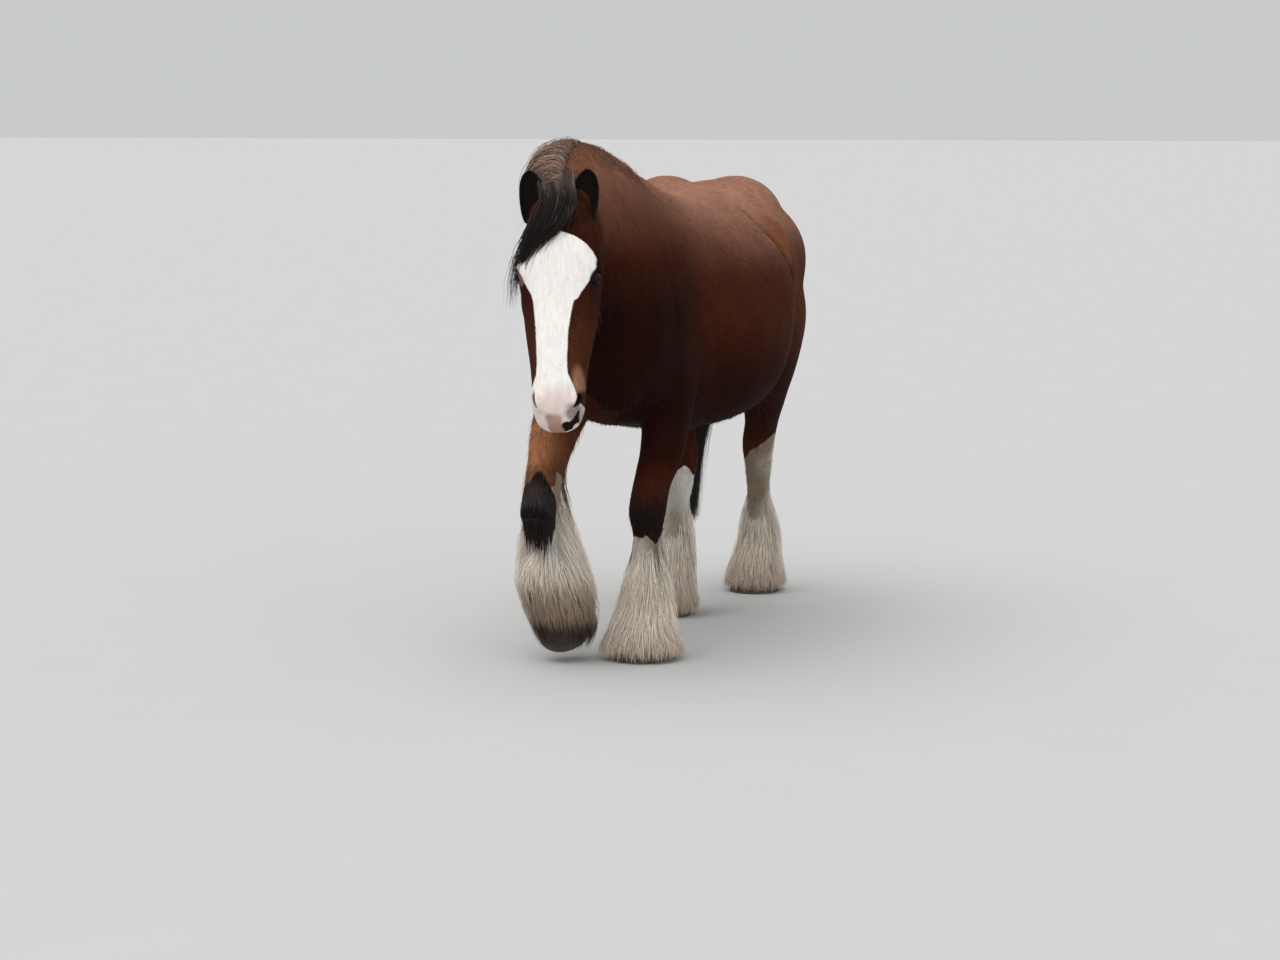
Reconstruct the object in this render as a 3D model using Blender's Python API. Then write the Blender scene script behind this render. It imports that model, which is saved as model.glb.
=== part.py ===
"""A walking heavy draught horse with a blaze and feathered legs, life size.

Metres, +Z up. The horse is made facing -Y, its left side at +X, its hooves on z = 0.
A place on it is written as (side, ahead, up): side to its left, ahead towards its head.
At the end the whole horse is moved so that the origin is the middle of its box, on the floor.
"""

import math
import random
from typing import NamedTuple

import bmesh
import bpy
from mathutils import Matrix, Vector
from mathutils.bvhtree import BVHTree

GAP = 0.0003
FLESH_VOXEL = 0.013
HEAD_VOXEL = 0.0065
FLESH_TRIANGLES = 3150
HEAD_TRIANGLES = 1500
SECTION_SIDES = 28
STEPS_BETWEEN = 3
CUT_REACH = 3.0

HAIR_SEED = 7

# Plain colours and roughness of the sub-parts, by the start of their names.
COLOURS = {
    "head": (0.330, 0.150, 0.080, 0.65), "neck": (0.130, 0.042, 0.022, 0.60),
    "torso": (0.160, 0.048, 0.024, 0.55), "tail": (0.020, 0.014, 0.012, 0.70),
    "ear": (0.060, 0.028, 0.018, 0.70), "eye": (0.012, 0.007, 0.005, 0.10),
    "upper_leg": (0.150, 0.045, 0.023, 0.60), "lower_leg": (0.620, 0.540, 0.430, 0.80),
    "hoof": (0.210, 0.170, 0.130, 0.50),
}

# The head: the poll is the top of the skull between the ears, and the face slopes down from it.
POLL = (0.058, 1.165, 1.573)
FACE_FROM_PLUMB = math.radians(20)
HEAD_TURN = math.radians(14.0)
HEAD_ROLL = math.radians(1.5)

EYE_RADIUS = 0.0215
EYE_SIDE, EYE_DOWN, EYE_OUT = 0.1100, 0.246, -0.047

# An ear's length and, from its base to its tip, half its width and its depth.
EAR_LENGTH = 0.172
EAR_SIDES = 7
EAR_WRAP = math.radians(108)
EAR_SHAPE = (
    (0.00, 0.029, 0.026), (0.15, 0.034, 0.029), (0.35, 0.041, 0.030), (0.55, 0.042, 0.028),
    (0.75, 0.035, 0.022), (0.90, 0.020, 0.014), (1.00, 0.004, 0.004),
)

# Where the trunk, neck, head and legs are parted.
THROAT_CUT = ((0.0, 1.085, 1.62), (0.934, -0.357))
SHOULDER_CUT = ((0.0, 0.46, 1.70), (0.85, 0.53))


def spot(side, ahead, up):
    return Vector((side, -ahead, up))


class Slice(NamedTuple):
    """A section of a body: its high and low points, half its width and how it rounds off."""

    side: float
    high_ahead: float
    high_up: float
    low_ahead: float
    low_up: float
    half_width: float
    widest: float = 0.5
    high_power: float = 2.0
    low_power: float = 2.0


class Ring(NamedTuple):
    """A section of a leg: its centre, half its width, and its reach in front and behind."""

    side: float
    ahead: float
    up: float
    half_width: float
    front: float
    back: float


TRUNK = (
    Slice(-0.020, -0.958, 1.350, -0.950, 1.190, 0.100),
    Slice(-0.020, -0.930, 1.430, -0.935, 1.080, 0.215),
    Slice(-0.022, -0.860, 1.515, -0.870, 0.990, 0.282, 0.55),
    Slice(-0.024, -0.740, 1.572, -0.740, 0.925, 0.330, 0.60),
    Slice(-0.024, -0.580, 1.598, -0.560, 0.860, 0.350, 0.58),
    Slice(-0.014, -0.400, 1.588, -0.380, 0.796, 0.386, 0.48, 2.0, 2.5),
    Slice(-0.004, -0.200, 1.568, -0.200, 0.748, 0.406, 0.42, 1.9, 2.6),
    Slice(0, 0.030, 1.570, 0.030, 0.738, 0.390, 0.40, 1.8, 2.5),
    Slice(0, 0.220, 1.608, 0.220, 0.757, 0.335, 0.41, 1.7, 2.2),
    Slice(0, 0.390, 1.655, 0.400, 0.785, 0.272, 0.42, 1.55, 2.1),
    Slice(0, 0.530, 1.640, 0.580, 0.805, 0.250, 0.42, 1.7),
    Slice(0, 0.660, 1.500, 0.720, 0.865, 0.238, 0.45),
    Slice(0, 0.755, 1.340, 0.780, 0.970, 0.190),
    Slice(0, 0.805, 1.220, 0.810, 1.080, 0.105),
)

NECK = (
    Slice(0.000, 0.330, 1.560, 0.620, 0.930, 0.235, 0.45),
    Slice(0.000, 0.450, 1.662, 0.770, 1.080, 0.222, 0.42, 1.7),
    Slice(0.000, 0.580, 1.706, 0.838, 1.170, 0.198, 0.42, 1.6),
    Slice(0.000, 0.720, 1.736, 0.885, 1.232, 0.172, 0.42, 1.6),
    Slice(0.002, 0.860, 1.742, 0.918, 1.272, 0.151, 0.44, 1.6),
    Slice(0.016, 0.985, 1.716, 0.940, 1.292, 0.134, 0.47, 1.7),
    Slice(0.036, 1.085, 1.658, 0.965, 1.300, 0.117, 0.50, 1.9),
    Slice(0.050, 1.145, 1.585, 1.010, 1.310, 0.095),
)

# The head's sections: distance down from the poll, face, jaw, half width, widest, face power.
HEAD = (
    (-0.042, -0.070, -0.150, 0.048, 0.50, 2.0),
    (-0.020, -0.030, -0.190, 0.080, 0.60, 2.0),
    (0.030, -0.004, -0.215, 0.102, 0.64, 2.3),
    (0.100, 0.010, -0.240, 0.118, 0.68, 2.7),
    (0.175, 0.014, -0.278, 0.126, 0.70, 2.9),
    (0.245, 0.009, -0.304, 0.121, 0.68, 2.8),
    (0.310, 0.004, -0.298, 0.110, 0.66, 2.7),
    (0.375, 0.001, -0.262, 0.101, 0.62, 2.6),
    (0.450, 0.000, -0.212, 0.092, 0.58, 2.5),
    (0.525, 0.000, -0.178, 0.085, 0.56, 2.4),
    (0.590, -0.001, -0.162, 0.082, 0.56, 2.4),
    (0.640, -0.008, -0.155, 0.083, 0.54, 2.3),
    (0.680, -0.026, -0.146, 0.076, 0.52, 2.2),
    (0.708, -0.048, -0.132, 0.060, 0.50, 2.0),
    (0.725, -0.074, -0.112, 0.030, 0.50, 2.0),
)

# Lumps on the skull: side, down, out, radii (across, down, out) and twist. From the top: brows,
# cheeks, face crests, nostril rims, ear muscles, upper lip, lower lip and chin.
HEAD_LUMPS = (
    (0.095, 0.210, -0.042, (0.034, 0.050, 0.036), 0.0),
    (0.068, 0.255, -0.190, (0.052, 0.125, 0.105), 0.0),
    (0.083, 0.330, -0.085, (0.019, 0.100, 0.020), 0.18),
    (0.047, 0.630, -0.045, (0.029, 0.050, 0.036), -0.1),
    (0.048, 0.045, -0.030, (0.040, 0.060, 0.045), 0.0),
    (0.0, 0.695, -0.074, (0.050, 0.036, 0.040), 0.0),
    (0.0, 0.676, -0.132, (0.039, 0.040, 0.028), 0.0),
    (0.0, 0.640, -0.152, (0.031, 0.034, 0.024), 0.0),
)

# Muscles: sides, ahead, up, radii and tilt in degrees. Shoulders, chest, breast, elbows, then
# croup, hips and haunches, which stand a little to the right with the pose.
MUSCLES = (
    ((0.168, -0.168), 0.500, 1.200, (0.088, 0.190, 0.330), -22),
    ((0.105, -0.105), 0.650, 1.120, (0.135, 0.140, 0.200), 0),
    ((0.080, -0.080), 0.715, 1.010, (0.105, 0.090, 0.150), 0),
    ((0.160, -0.160), 0.400, 0.980, (0.090, 0.160, 0.150), 0),
    ((0.085, -0.185), -0.560, 1.425, (0.175, 0.280, 0.193), 0),
    ((0.235, -0.280), -0.440, 1.365, (0.078, 0.150, 0.110), 0),
    ((0.128, -0.168), -0.790, 1.230, (0.130, 0.165, 0.250), 0),
)

# Legs, from inside the trunk to the joint that parts the upper leg from the lower.
FORE_LEFT = (
    Ring(0.165, 0.520, 1.120, 0.090, 0.150, 0.160),
    Ring(0.172, 0.450, 0.940, 0.092, 0.125, 0.145),
    Ring(0.165, 0.445, 0.830, 0.082, 0.104, 0.116),
    Ring(0.150, 0.458, 0.700, 0.074, 0.079, 0.083),
    Ring(0.121, 0.470, 0.600, 0.063, 0.065, 0.064),
    Ring(0.107, 0.475, 0.500, 0.060, 0.062, 0.060),
)
FORE_RIGHT = (
    Ring(-0.165, 0.540, 1.120, 0.090, 0.150, 0.160),
    Ring(-0.180, 0.480, 0.955, 0.095, 0.128, 0.145),
    Ring(-0.184, 0.530, 0.855, 0.089, 0.105, 0.116),
    Ring(-0.188, 0.600, 0.760, 0.079, 0.082, 0.085),
    Ring(-0.188, 0.660, 0.670, 0.068, 0.068, 0.066),
    Ring(-0.186, 0.725, 0.565, 0.061, 0.062, 0.060),
    Ring(-0.184, 0.770, 0.490, 0.058, 0.058, 0.056),
)
HIND_LEFT = (
    Ring(0.140, -0.690, 1.300, 0.130, 0.230, 0.220),
    Ring(0.168, -0.665, 1.120, 0.145, 0.235, 0.245),
    Ring(0.178, -0.670, 0.960, 0.120, 0.190, 0.195),
    Ring(0.140, -0.765, 0.800, 0.085, 0.108, 0.122),
    Ring(0.102, -0.848, 0.680, 0.064, 0.066, 0.088),
    Ring(0.077, -0.900, 0.570, 0.057, 0.056, 0.070),
    Ring(0.058, -0.950, 0.460, 0.050, 0.050, 0.060),
)
HIND_RIGHT = (
    Ring(-0.165, -0.680, 1.300, 0.130, 0.230, 0.220),
    Ring(-0.195, -0.590, 1.120, 0.142, 0.240, 0.245),
    Ring(-0.212, -0.515, 0.960, 0.118, 0.185, 0.195),
    Ring(-0.175, -0.535, 0.800, 0.084, 0.108, 0.122),
    Ring(-0.138, -0.560, 0.670, 0.063, 0.066, 0.088),
    Ring(-0.119, -0.545, 0.550, 0.056, 0.056, 0.070),
    Ring(-0.116, -0.500, 0.440, 0.050, 0.050, 0.060),
)


class LowerLeg(NamedTuple):
    """The joints of a lower leg: where it starts, the knee or hock, fetlock, coronet and sole."""

    start: tuple
    joint: tuple
    fetlock: tuple
    coronet: tuple
    sole: tuple
    toe_down: float
    hind: bool


LOWER = {
    "fore_left": LowerLeg((0.132, 0.467, 0.665), (0.107, 0.475, 0.510), (0.094, 0.455, 0.205),
                          (0.096, 0.500, 0.098), (0.098, 0.520, 0.0), 0.0, False),
    "fore_right": LowerLeg((-0.189, 0.608, 0.750), (-0.188, 0.694, 0.600), (-0.176, 0.640, 0.305),
                           (-0.154, 0.634, 0.205), (-0.136, 0.630, 0.110), math.radians(46), False),
    "hind_left": LowerLeg((0.111, -0.828, 0.710), (0.074, -0.893, 0.585), (0.036, -1.040, 0.205),
                          (0.034, -1.000, 0.098), (0.034, -0.985, 0.0), 0.0, True),
    "hind_right": LowerLeg((-0.142, -0.558, 0.690), (-0.120, -0.552, 0.565), (-0.114, -0.430, 0.205),
                           (-0.114, -0.375, 0.098), (-0.114, -0.355, 0.0), 0.0, True),
}
# Sections of a lower leg. Each lies between two of its joints (0 start, 1 knee or hock, 2 fetlock,
# 3 coronet) at a share of the way, with half its width and its reach in front and behind.
FORE_SHAPE = (
    (0, 2, 0.00, 0.0615, 0.0640, 0.0620), (1, 2, 0.00, 0.0655, 0.0670, 0.0600),
    (1, 2, 0.22, 0.0540, 0.0520, 0.0540), (1, 2, 0.50, 0.0440, 0.0440, 0.0520),
    (1, 2, 0.77, 0.0455, 0.0480, 0.0580),
)
HIND_SHAPE = (
    (0, 2, 0.00, 0.0595, 0.0600, 0.0840), (1, 2, 0.00, 0.0610, 0.0580, 0.0840),
    (1, 2, 0.18, 0.0530, 0.0510, 0.0600), (1, 2, 0.45, 0.0450, 0.0450, 0.0530),
    (1, 2, 0.75, 0.0460, 0.0490, 0.0580),
)
FOOT_SHAPE = (
    (2, 3, 0.00, 0.0540, 0.0550, 0.0650), (2, 3, 0.55, 0.0520, 0.0520, 0.0600),
    (2, 3, 1.00, 0.0700, 0.0700, 0.0700),
)
# The level at which each lower leg is parted from the upper one.
LEG_CUT = {"fore_left": 0.575, "fore_right": 0.640, "hind_left": 0.615, "hind_right": 0.600}
# The boxes that cut the upper legs from the trunk: sides, range ahead, and the roof's height as a
# level at the middle plane with its rise outwards and forwards.
LEG_BOX_INNER, LEG_BOX_OUTER, LEG_BOX_FLOOR = 0.012, 0.45, 0.40
LEG_BOX = {"fore_left": (0.29, 0.66), "fore_right": (0.31, 0.82),
           "hind_left": (-1.10, -0.44), "hind_right": (-0.92, -0.30)}
FORE_ROOF = (0.7594, 0.42, 0.0)
HIND_ROOF = (0.681, 0.55, -0.25)

# A hoof's height over its sole, radius and shift back, and how much flatter its heel is.
HOOF_PROFILE = ((0.0, 0.0980, 0.0), (0.012, 0.0965, 0.004), (0.055, 0.0867, 0.016),
                (0.082, 0.0760, 0.026), (0.094, 0.0707, 0.028))
HOOF_HEEL = 0.86
HOOF_WIDTH = 0.97

# Feather: at heights over the floor, how far it reaches to the side and to the back.
FEATHER = (
    (0.500, 0.040, 0.040), (0.440, 0.056, 0.062), (0.340, 0.066, 0.084), (0.295, 0.076, 0.096),
    (0.220, 0.090, 0.112), (0.165, 0.103, 0.124), (0.100, 0.124, 0.140), (0.050, 0.146, 0.152),
    (0.012, 0.148, 0.150),
)
HIND_FEATHER = (
    (0.500, 0.040, 0.040), (0.440, 0.054, 0.062), (0.340, 0.064, 0.084), (0.295, 0.071, 0.094),
    (0.220, 0.082, 0.108), (0.165, 0.092, 0.118), (0.100, 0.107, 0.130), (0.050, 0.122, 0.140),
    (0.012, 0.124, 0.138),
)
LIFTED_FEATHER = (
    (0.560, 0.040, 0.040), (0.470, 0.062, 0.066), (0.360, 0.088, 0.100), (0.290, 0.124, 0.126),
    (0.225, 0.143, 0.134), (0.170, 0.136, 0.126), (0.115, 0.110, 0.102), (0.075, 0.072, 0.062),
)

# How much less deep the feather's plain core is than its locks, and how far it stays off the floor.
FEATHER_DEPTH = 0.13
FEATHER_FLOOR = 0.030

# The tail: side, ahead, up, half width and thickness from the dock to the tip.
TAIL = (
    Ring(-0.018, -0.900, 1.455, 0.034, 0.030, 0.030),
    Ring(-0.024, -0.968, 1.430, 0.038, 0.036, 0.036),
    Ring(-0.052, -1.035, 1.330, 0.053, 0.050, 0.050),
    Ring(-0.108, -1.075, 1.150, 0.074, 0.060, 0.058),
    Ring(-0.185, -1.085, 0.920, 0.088, 0.064, 0.062),
    Ring(-0.242, -1.075, 0.700, 0.078, 0.058, 0.058),
    Ring(-0.254, -1.052, 0.470, 0.050, 0.040, 0.040),
    Ring(-0.226, -1.020, 0.250, 0.012, 0.012, 0.012),
)

TAIL_LOCKS = 12
TAIL_CORE = 0.50

# The mane falls on the right from the crest, between two shares of the neck's length.
MANE_LOCKS = 15
MANE_FROM, MANE_TO = 0.17, 0.80
MANE_CORE_OVER = 0.012

# The forelock falls over the right eye: side, down, out, spread and lift off the face at each step.
FORELOCK_LOCKS = 8
FORELOCK = (
    (0.000, -0.050, -0.030, 0.034), (-0.012, 0.008, 0.022, 0.044), (-0.046, 0.090, 0.032, 0.036),
    (-0.088, 0.175, 0.018, 0.024), (-0.120, 0.250, -0.016, 0.014), (-0.138, 0.340, -0.050, 0.010),
)

# Feather locks: height of the roots, how deep they start, height of the tips, how many, half width.
FEATHER_ROWS = ((0.430, 0.255, 6, 0.036), (0.300, 0.125, 8, 0.042), (0.195, 0.013, 12, 0.043))
LIFTED_ROWS = ((0.480, 0.320, 6, 0.038), (0.370, 0.185, 8, 0.050), (0.265, 0.078, 11, 0.048))


def blend_rows(rows, steps):
    """Catmull-Rom rows between the given ones, so that a few sections make a smooth body."""
    made = []
    last = len(rows) - 1
    for index in range(last):
        before = rows[max(index - 1, 0)]
        start, end = rows[index], rows[index + 1]
        after = rows[min(index + 2, last)]
        for step in range(steps):
            t = step / steps
            made.append(tuple(
                0.5 * (2 * b + (c - a) * t + (2 * a - 5 * b + 4 * c - d) * t * t
                       + (3 * b - a - 3 * c + d) * t * t * t)
                for a, b, c, d in zip(before, start, end, after)
            ))
    made.append(tuple(rows[last]))
    return made


def rounded(count, power_high, power_low):
    """Unit outline points (across, up), squarer than an ellipse where the power is over 2."""
    points = []
    for index in range(count):
        turn = 2 * math.pi * (index + 0.5) / count
        across, up = math.cos(turn), math.sin(turn)
        share = 2 / (power_high if up > 0 else power_low)
        points.append((math.copysign(abs(across) ** share, across), math.copysign(abs(up) ** share, up)))
    return points


def section(high, low, lateral, half_width, widest, high_power, low_power, count=SECTION_SIDES):
    """A closed ring of points between a high point and a low one."""
    centre = low.lerp(high, widest)
    return [
        centre + lateral * (half_width * across) + ((high - centre) if up > 0 else (centre - low)) * up
        for across, up in rounded(count, high_power, low_power)
    ]


def loft(bm, rings):
    """Bridges closed rings in order and closes both ends."""
    loops = []
    for ring in rings:
        made = bmesh.ops.create_circle(bm, segments=len(ring), radius=1.0)["verts"]
        for vert, point in zip(made, ring):
            vert.co = point
        loops.append(list({edge for vert in made for edge in vert.link_edges}))
    for first, second in zip(loops, loops[1:]):
        bmesh.ops.bridge_loops(bm, edges=first + second)
    for end in (loops[0], loops[-1]):
        bmesh.ops.edgeloop_fill(bm, edges=end)
    bmesh.ops.recalc_face_normals(bm, faces=bm.faces)


def body_rings(slices):
    """Rings of the trunk or the neck, which bend only in the upright plane."""
    rings = []
    for row in blend_rows(slices, STEPS_BETWEEN):
        piece = Slice(*row)
        high = spot(piece.side, piece.high_ahead, piece.high_up)
        low = spot(piece.side, piece.low_ahead, piece.low_up)
        rings.append(section(high, low, Vector((1, 0, 0)), piece.half_width, piece.widest,
                             piece.high_power, piece.low_power))
    return rings


def leg_rings(rows, count=20, steps=STEPS_BETWEEN):
    """Rings square to the leg's own line, wider behind than in front where the rows say so."""
    stations = [Ring(*row) for row in blend_rows(rows, steps)]
    centres = [spot(s.side, s.ahead, s.up) for s in stations]
    rings = []
    for index, station in enumerate(stations):
        along = centres[min(index + 1, len(centres) - 1)] - centres[max(index - 1, 0)]
        along.normalize()
        lateral = (Vector((1, 0, 0)) - along * along.x).normalized()
        front = along.cross(lateral).normalized()
        if front.y > 0:
            front.negate()
        centre = centres[index]
        rings.append([
            centre + lateral * (station.half_width * across)
            + front * ((station.front if up > 0 else station.back) * up)
            for across, up in rounded(count, 2.1, 2.1)
        ])
    return rings


def new_object(name, bm, smooth=True):
    mesh = bpy.data.meshes.new(name)
    bm.to_mesh(mesh)
    bm.free()
    if smooth:
        mesh.shade_smooth()
    made = bpy.data.objects.new(name, mesh)
    bpy.context.scene.collection.objects.link(made)
    return made


def loft_object(name, rings):
    bm = bmesh.new()
    loft(bm, rings)
    return new_object(name, bm)


def ball(name, matrix, radii, segments=20, rings=12):
    bm = bmesh.new()
    bmesh.ops.create_uvsphere(bm, u_segments=segments, v_segments=rings, radius=1.0)
    bmesh.ops.transform(bm, matrix=matrix @ Matrix.Diagonal((*radii, 1.0)), verts=bm.verts)
    return new_object(name, bm)


def muscle(centre, radii, tilt):
    """An ellipsoid of flesh, tilted about the side-to-side axis."""
    return ball("muscle", Matrix.Translation(centre) @ Matrix.Rotation(tilt, 4, "X"), radii)


def applied(obj):
    """The object with its modifiers made real."""
    graph = bpy.context.evaluated_depsgraph_get()
    mesh = bpy.data.meshes.new_from_object(obj.evaluated_get(graph))
    obj.modifiers.clear()
    old = obj.data
    obj.data = mesh
    bpy.data.meshes.remove(old)
    return obj


def discard(objects):
    for obj in objects:
        mesh = obj.data
        bpy.data.objects.remove(obj)
        bpy.data.meshes.remove(mesh)


def melt(name, pieces, voxel, smoothing, triangles):
    """Joins overlapping pieces into one smooth body of about the given number of triangles."""
    bm = bmesh.new()
    for piece in pieces:
        bm.from_mesh(piece.data)
    discard(pieces)
    body = new_object(name, bm)
    remesh = body.modifiers.new("Remesh", "REMESH")
    remesh.mode = "VOXEL"
    remesh.voxel_size = voxel
    smooth = body.modifiers.new("Smooth", "SMOOTH")
    smooth.factor = 0.5
    smooth.iterations = smoothing
    applied(body)
    thin = body.modifiers.new("Decimate", "DECIMATE")
    thin.ratio = triangles / (2 * len(body.data.polygons))
    return applied(body)


def cut_by_plane(obj, point, ahead_up, keep_ahead, gap):
    """Keeps one side of a plane through a (side, ahead, up) point, less half the gap."""
    normal = Vector((0, -ahead_up[0], ahead_up[1])).normalized()
    if not keep_ahead:
        normal.negate()
    bm = bmesh.new()
    bmesh.ops.create_cube(bm, size=2 * CUT_REACH)
    place = Matrix.Translation(spot(*point) + normal * (CUT_REACH + gap / 2))
    turn = normal.to_track_quat("Z", "X").to_matrix().to_4x4()
    bmesh.ops.transform(bm, matrix=place @ turn, verts=bm.verts)
    kept = new_object("kept", bm, smooth=False)
    boolean(obj, "INTERSECT", kept)
    discard([kept])
    return obj


def copied(obj, name):
    made = bpy.data.objects.new(name, obj.data.copy())
    bpy.context.scene.collection.objects.link(made)
    return made


def grown(obj, amount):
    """A copy of the object, swollen by the amount."""
    made = copied(obj, "grown")
    normals = [vert.normal.copy() for vert in made.data.vertices]
    for vert, normal in zip(made.data.vertices, normals):
        vert.co += normal * amount
    return made


def boolean(obj, operation, other, solver="MANIFOLD"):
    """Applies one Boolean with another object, and leaves the other as it is."""
    step = obj.modifiers.new(operation.title(), "BOOLEAN")
    step.operation = operation
    step.solver = solver
    step.object = other
    return applied(obj)


def united(obj, pieces, solver="MANIFOLD"):
    """Joins the pieces to the object by one union on a collection, then removes them."""
    group = bpy.data.collections.new("pieces")
    bpy.context.scene.collection.children.link(group)
    for piece in pieces:
        for holder in list(piece.users_collection):
            holder.objects.unlink(piece)
        group.objects.link(piece)
    step = obj.modifiers.new("Union", "BOOLEAN")
    step.operation = "UNION"
    step.solver = solver
    step.operand_type = "COLLECTION"
    step.collection = group
    applied(obj)
    discard(pieces)
    bpy.data.collections.remove(group)
    return obj


def largest_shell(obj):
    """Keeps only the largest closed surface of the object."""
    bm = bmesh.new()
    bm.from_mesh(obj.data)
    bm.faces.ensure_lookup_table()
    left = set(bm.faces)
    shells = []
    while left:
        shell = {left.pop()}
        edge_of_shell = list(shell)
        while edge_of_shell:
            face = edge_of_shell.pop()
            for edge in face.edges:
                for near in edge.link_faces:
                    if near in left:
                        left.discard(near)
                        shell.add(near)
                        edge_of_shell.append(near)
        shells.append(shell)
    biggest = max(shells, key=lambda shell: sum(face.calc_area() for face in shell))
    bmesh.ops.delete(bm, geom=[face for face in bm.faces if face not in biggest], context="FACES")
    bmesh.ops.triangulate(bm, faces=bm.faces)
    bm.to_mesh(obj.data)
    bm.free()
    return obj


def slanted_box(name, sides, aheads, low, high_at):
    """A cutter with upright walls, a flat base and a roof whose height high_at(side, ahead) gives."""
    bm = bmesh.new()
    bmesh.ops.create_cube(bm, size=2.0)
    for vert in bm.verts:
        side = sides[1] if vert.co.x > 0 else sides[0]
        ahead = aheads[1] if vert.co.y > 0 else aheads[0]
        up = high_at(side, ahead) if vert.co.z > 0 else low
        vert.co = spot(side, ahead, up)
    bmesh.ops.reverse_faces(bm, faces=bm.faces)
    return new_object(name, bm, smooth=False)


def head_place(side, down, out):
    """A place on the head: to its left, down the face from the poll, out from the face."""
    return HEAD_FRAME @ Vector((side, -out, -down))


def head_frame():
    """Matrix from the head's own axes (left, in from the face, up along it) to the horse's."""
    tip_back = Matrix.Rotation(-FACE_FROM_PLUMB, 4, "X")
    roll = Matrix.Rotation(-HEAD_ROLL, 4, "Y")
    turn = Matrix.Rotation(HEAD_TURN, 4, "Z")
    return Matrix.Translation(spot(*POLL)) @ turn @ roll @ tip_back


HEAD_FRAME = head_frame()


def head_rings():
    rings = []
    left = (HEAD_FRAME.to_3x3() @ Vector((1, 0, 0))).normalized()
    for down, face, jaw, half_width, widest, power in blend_rows(HEAD, STEPS_BETWEEN):
        rings.append(section(head_place(0, down, face), head_place(0, down, jaw), left,
                             half_width, widest, power, 2.0))
    return rings


def head_lump(side, down, out, radii, twist=0.0):
    """A pair of ellipsoids on the head, with radii across, down and out; one if it is in the middle."""
    lumps = []
    for sign in (1, -1) if side else (1,):
        place = Matrix.Translation((sign * side, -out, -down)) @ Matrix.Rotation(sign * twist, 4, "Y")
        lumps.append(ball("lump", HEAD_FRAME @ place, (radii[0], radii[2], radii[1])))
    return lumps


def head_pieces():
    """The skull with the lumps of bone and flesh on it."""
    pieces = [loft_object("skull", head_rings())]
    for row in HEAD_LUMPS:
        pieces += head_lump(*row)
    return pieces


def trunk_pieces():
    """Trunk, neck, upper legs and the muscles that show under the skin."""
    pieces = [loft_object("trunk", body_rings(TRUNK)), loft_object("neck", body_rings(NECK))]
    for rows in (FORE_LEFT, FORE_RIGHT, HIND_LEFT, HIND_RIGHT):
        pieces.append(loft_object("upper_leg", leg_rings(rows)))
    for sides, ahead, up, radii, tilt in MUSCLES:
        pieces += [muscle(spot(side, ahead, up), radii, math.radians(tilt)) for side in sides]
    return pieces


def neck_stub():
    """The end of the neck, melted into the head so that the throat joins it smoothly."""
    return loft_object("neck_end", body_rings(NECK[3:]))


def lower_leg_rows(leg):
    """Rows from above the knee or hock down to the coronet."""
    places = [Vector(place) for place in (leg.start, leg.joint, leg.fetlock, leg.coronet)]
    rows = []
    for first, last, share, width, front, back in (HIND_SHAPE if leg.hind else FORE_SHAPE) + FOOT_SHAPE:
        rows.append(Ring(*places[first].lerp(places[last], share), width, front, back))
    return rows


def hoof_matrix(leg):
    """From the hoof's own axes, sole at z = 0, to its place; a lifted hoof points its toe down."""
    turn = Matrix.Rotation(leg.toe_down, 4, "X")
    return Matrix.Translation(spot(*leg.sole)) @ turn


def hoof_ring(height, radius, shift, count=16):
    """A ring of the hoof, a little flatter at the heel, shifted back by the wall's slope."""
    ring = []
    for index in range(count):
        turn = 2 * math.pi * index / count
        ahead = math.cos(turn) * radius
        if ahead < 0:
            ahead *= HOOF_HEEL
        ring.append(Vector((math.sin(turn) * radius * HOOF_WIDTH, -(ahead - shift), height)))
    return ring


def hoof(name, leg, grow=0.0):
    """A hoof, or with grow the room that one needs."""
    rings = [hoof_ring(height, radius + grow, shift) for height, radius, shift in HOOF_PROFILE]
    for ring, away in ((rings[0], -grow), (rings[-1], grow)):
        for point in ring:
            point.z += away
    made = loft_object(name, rings)
    made.data.transform(hoof_matrix(leg))
    return made


def coloured(obj):
    """Gives a finished sub-part its own material, by the kind that its name starts with."""
    kind = next(kind for kind in COLOURS if obj.name.startswith(kind))
    red, green, blue, roughness = COLOURS[kind]
    material = bpy.data.materials.new(obj.name)
    material.use_nodes = True
    shader = material.node_tree.nodes["Principled BSDF"]
    shader.inputs["Base Color"].default_value = (red, green, blue, 1.0)
    shader.inputs["Roughness"].default_value = roughness
    obj.data.materials.clear()
    obj.data.materials.append(material)


def build_head():
    """The head with eye sockets, lids, nostrils and the line of the mouth."""
    head = melt("head", head_pieces() + [neck_stub()], HEAD_VOXEL, 5, HEAD_TRIANGLES)
    united(head, [eyelids(1), eyelids(-1)])
    holes = [mouth_line(head), nostril(1), nostril(-1), eye_opening(1), eye_opening(-1)]
    for hole in holes:
        boolean(head, "DIFFERENCE", hole)
    discard(holes)
    return head


def build_flesh():
    """Neck, trunk and upper legs in one, with the back of the skull that the neck grows into."""
    return melt("flesh", trunk_pieces() + [loft_object("skull", head_rings())],
                FLESH_VOXEL, 7, FLESH_TRIANGLES)


def roof_at(roof, side, ahead):
    """Height of the slanting cut between an upper leg and the trunk."""
    level, outward, forward = roof
    return level + outward * abs(side) + forward * ahead


def leg_box(name, gap):
    """The space that holds one upper leg, under a roof that slants out and up."""
    sign = 1 if "left" in name else -1
    sides = sorted((sign * LEG_BOX_INNER, sign * LEG_BOX_OUTER))
    roof = FORE_ROOF if "fore" in name else HIND_ROOF
    return slanted_box("box", sides, LEG_BOX[name], LEG_BOX_FLOOR,
                       lambda side, ahead: roof_at(roof, side, ahead) + gap)


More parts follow.
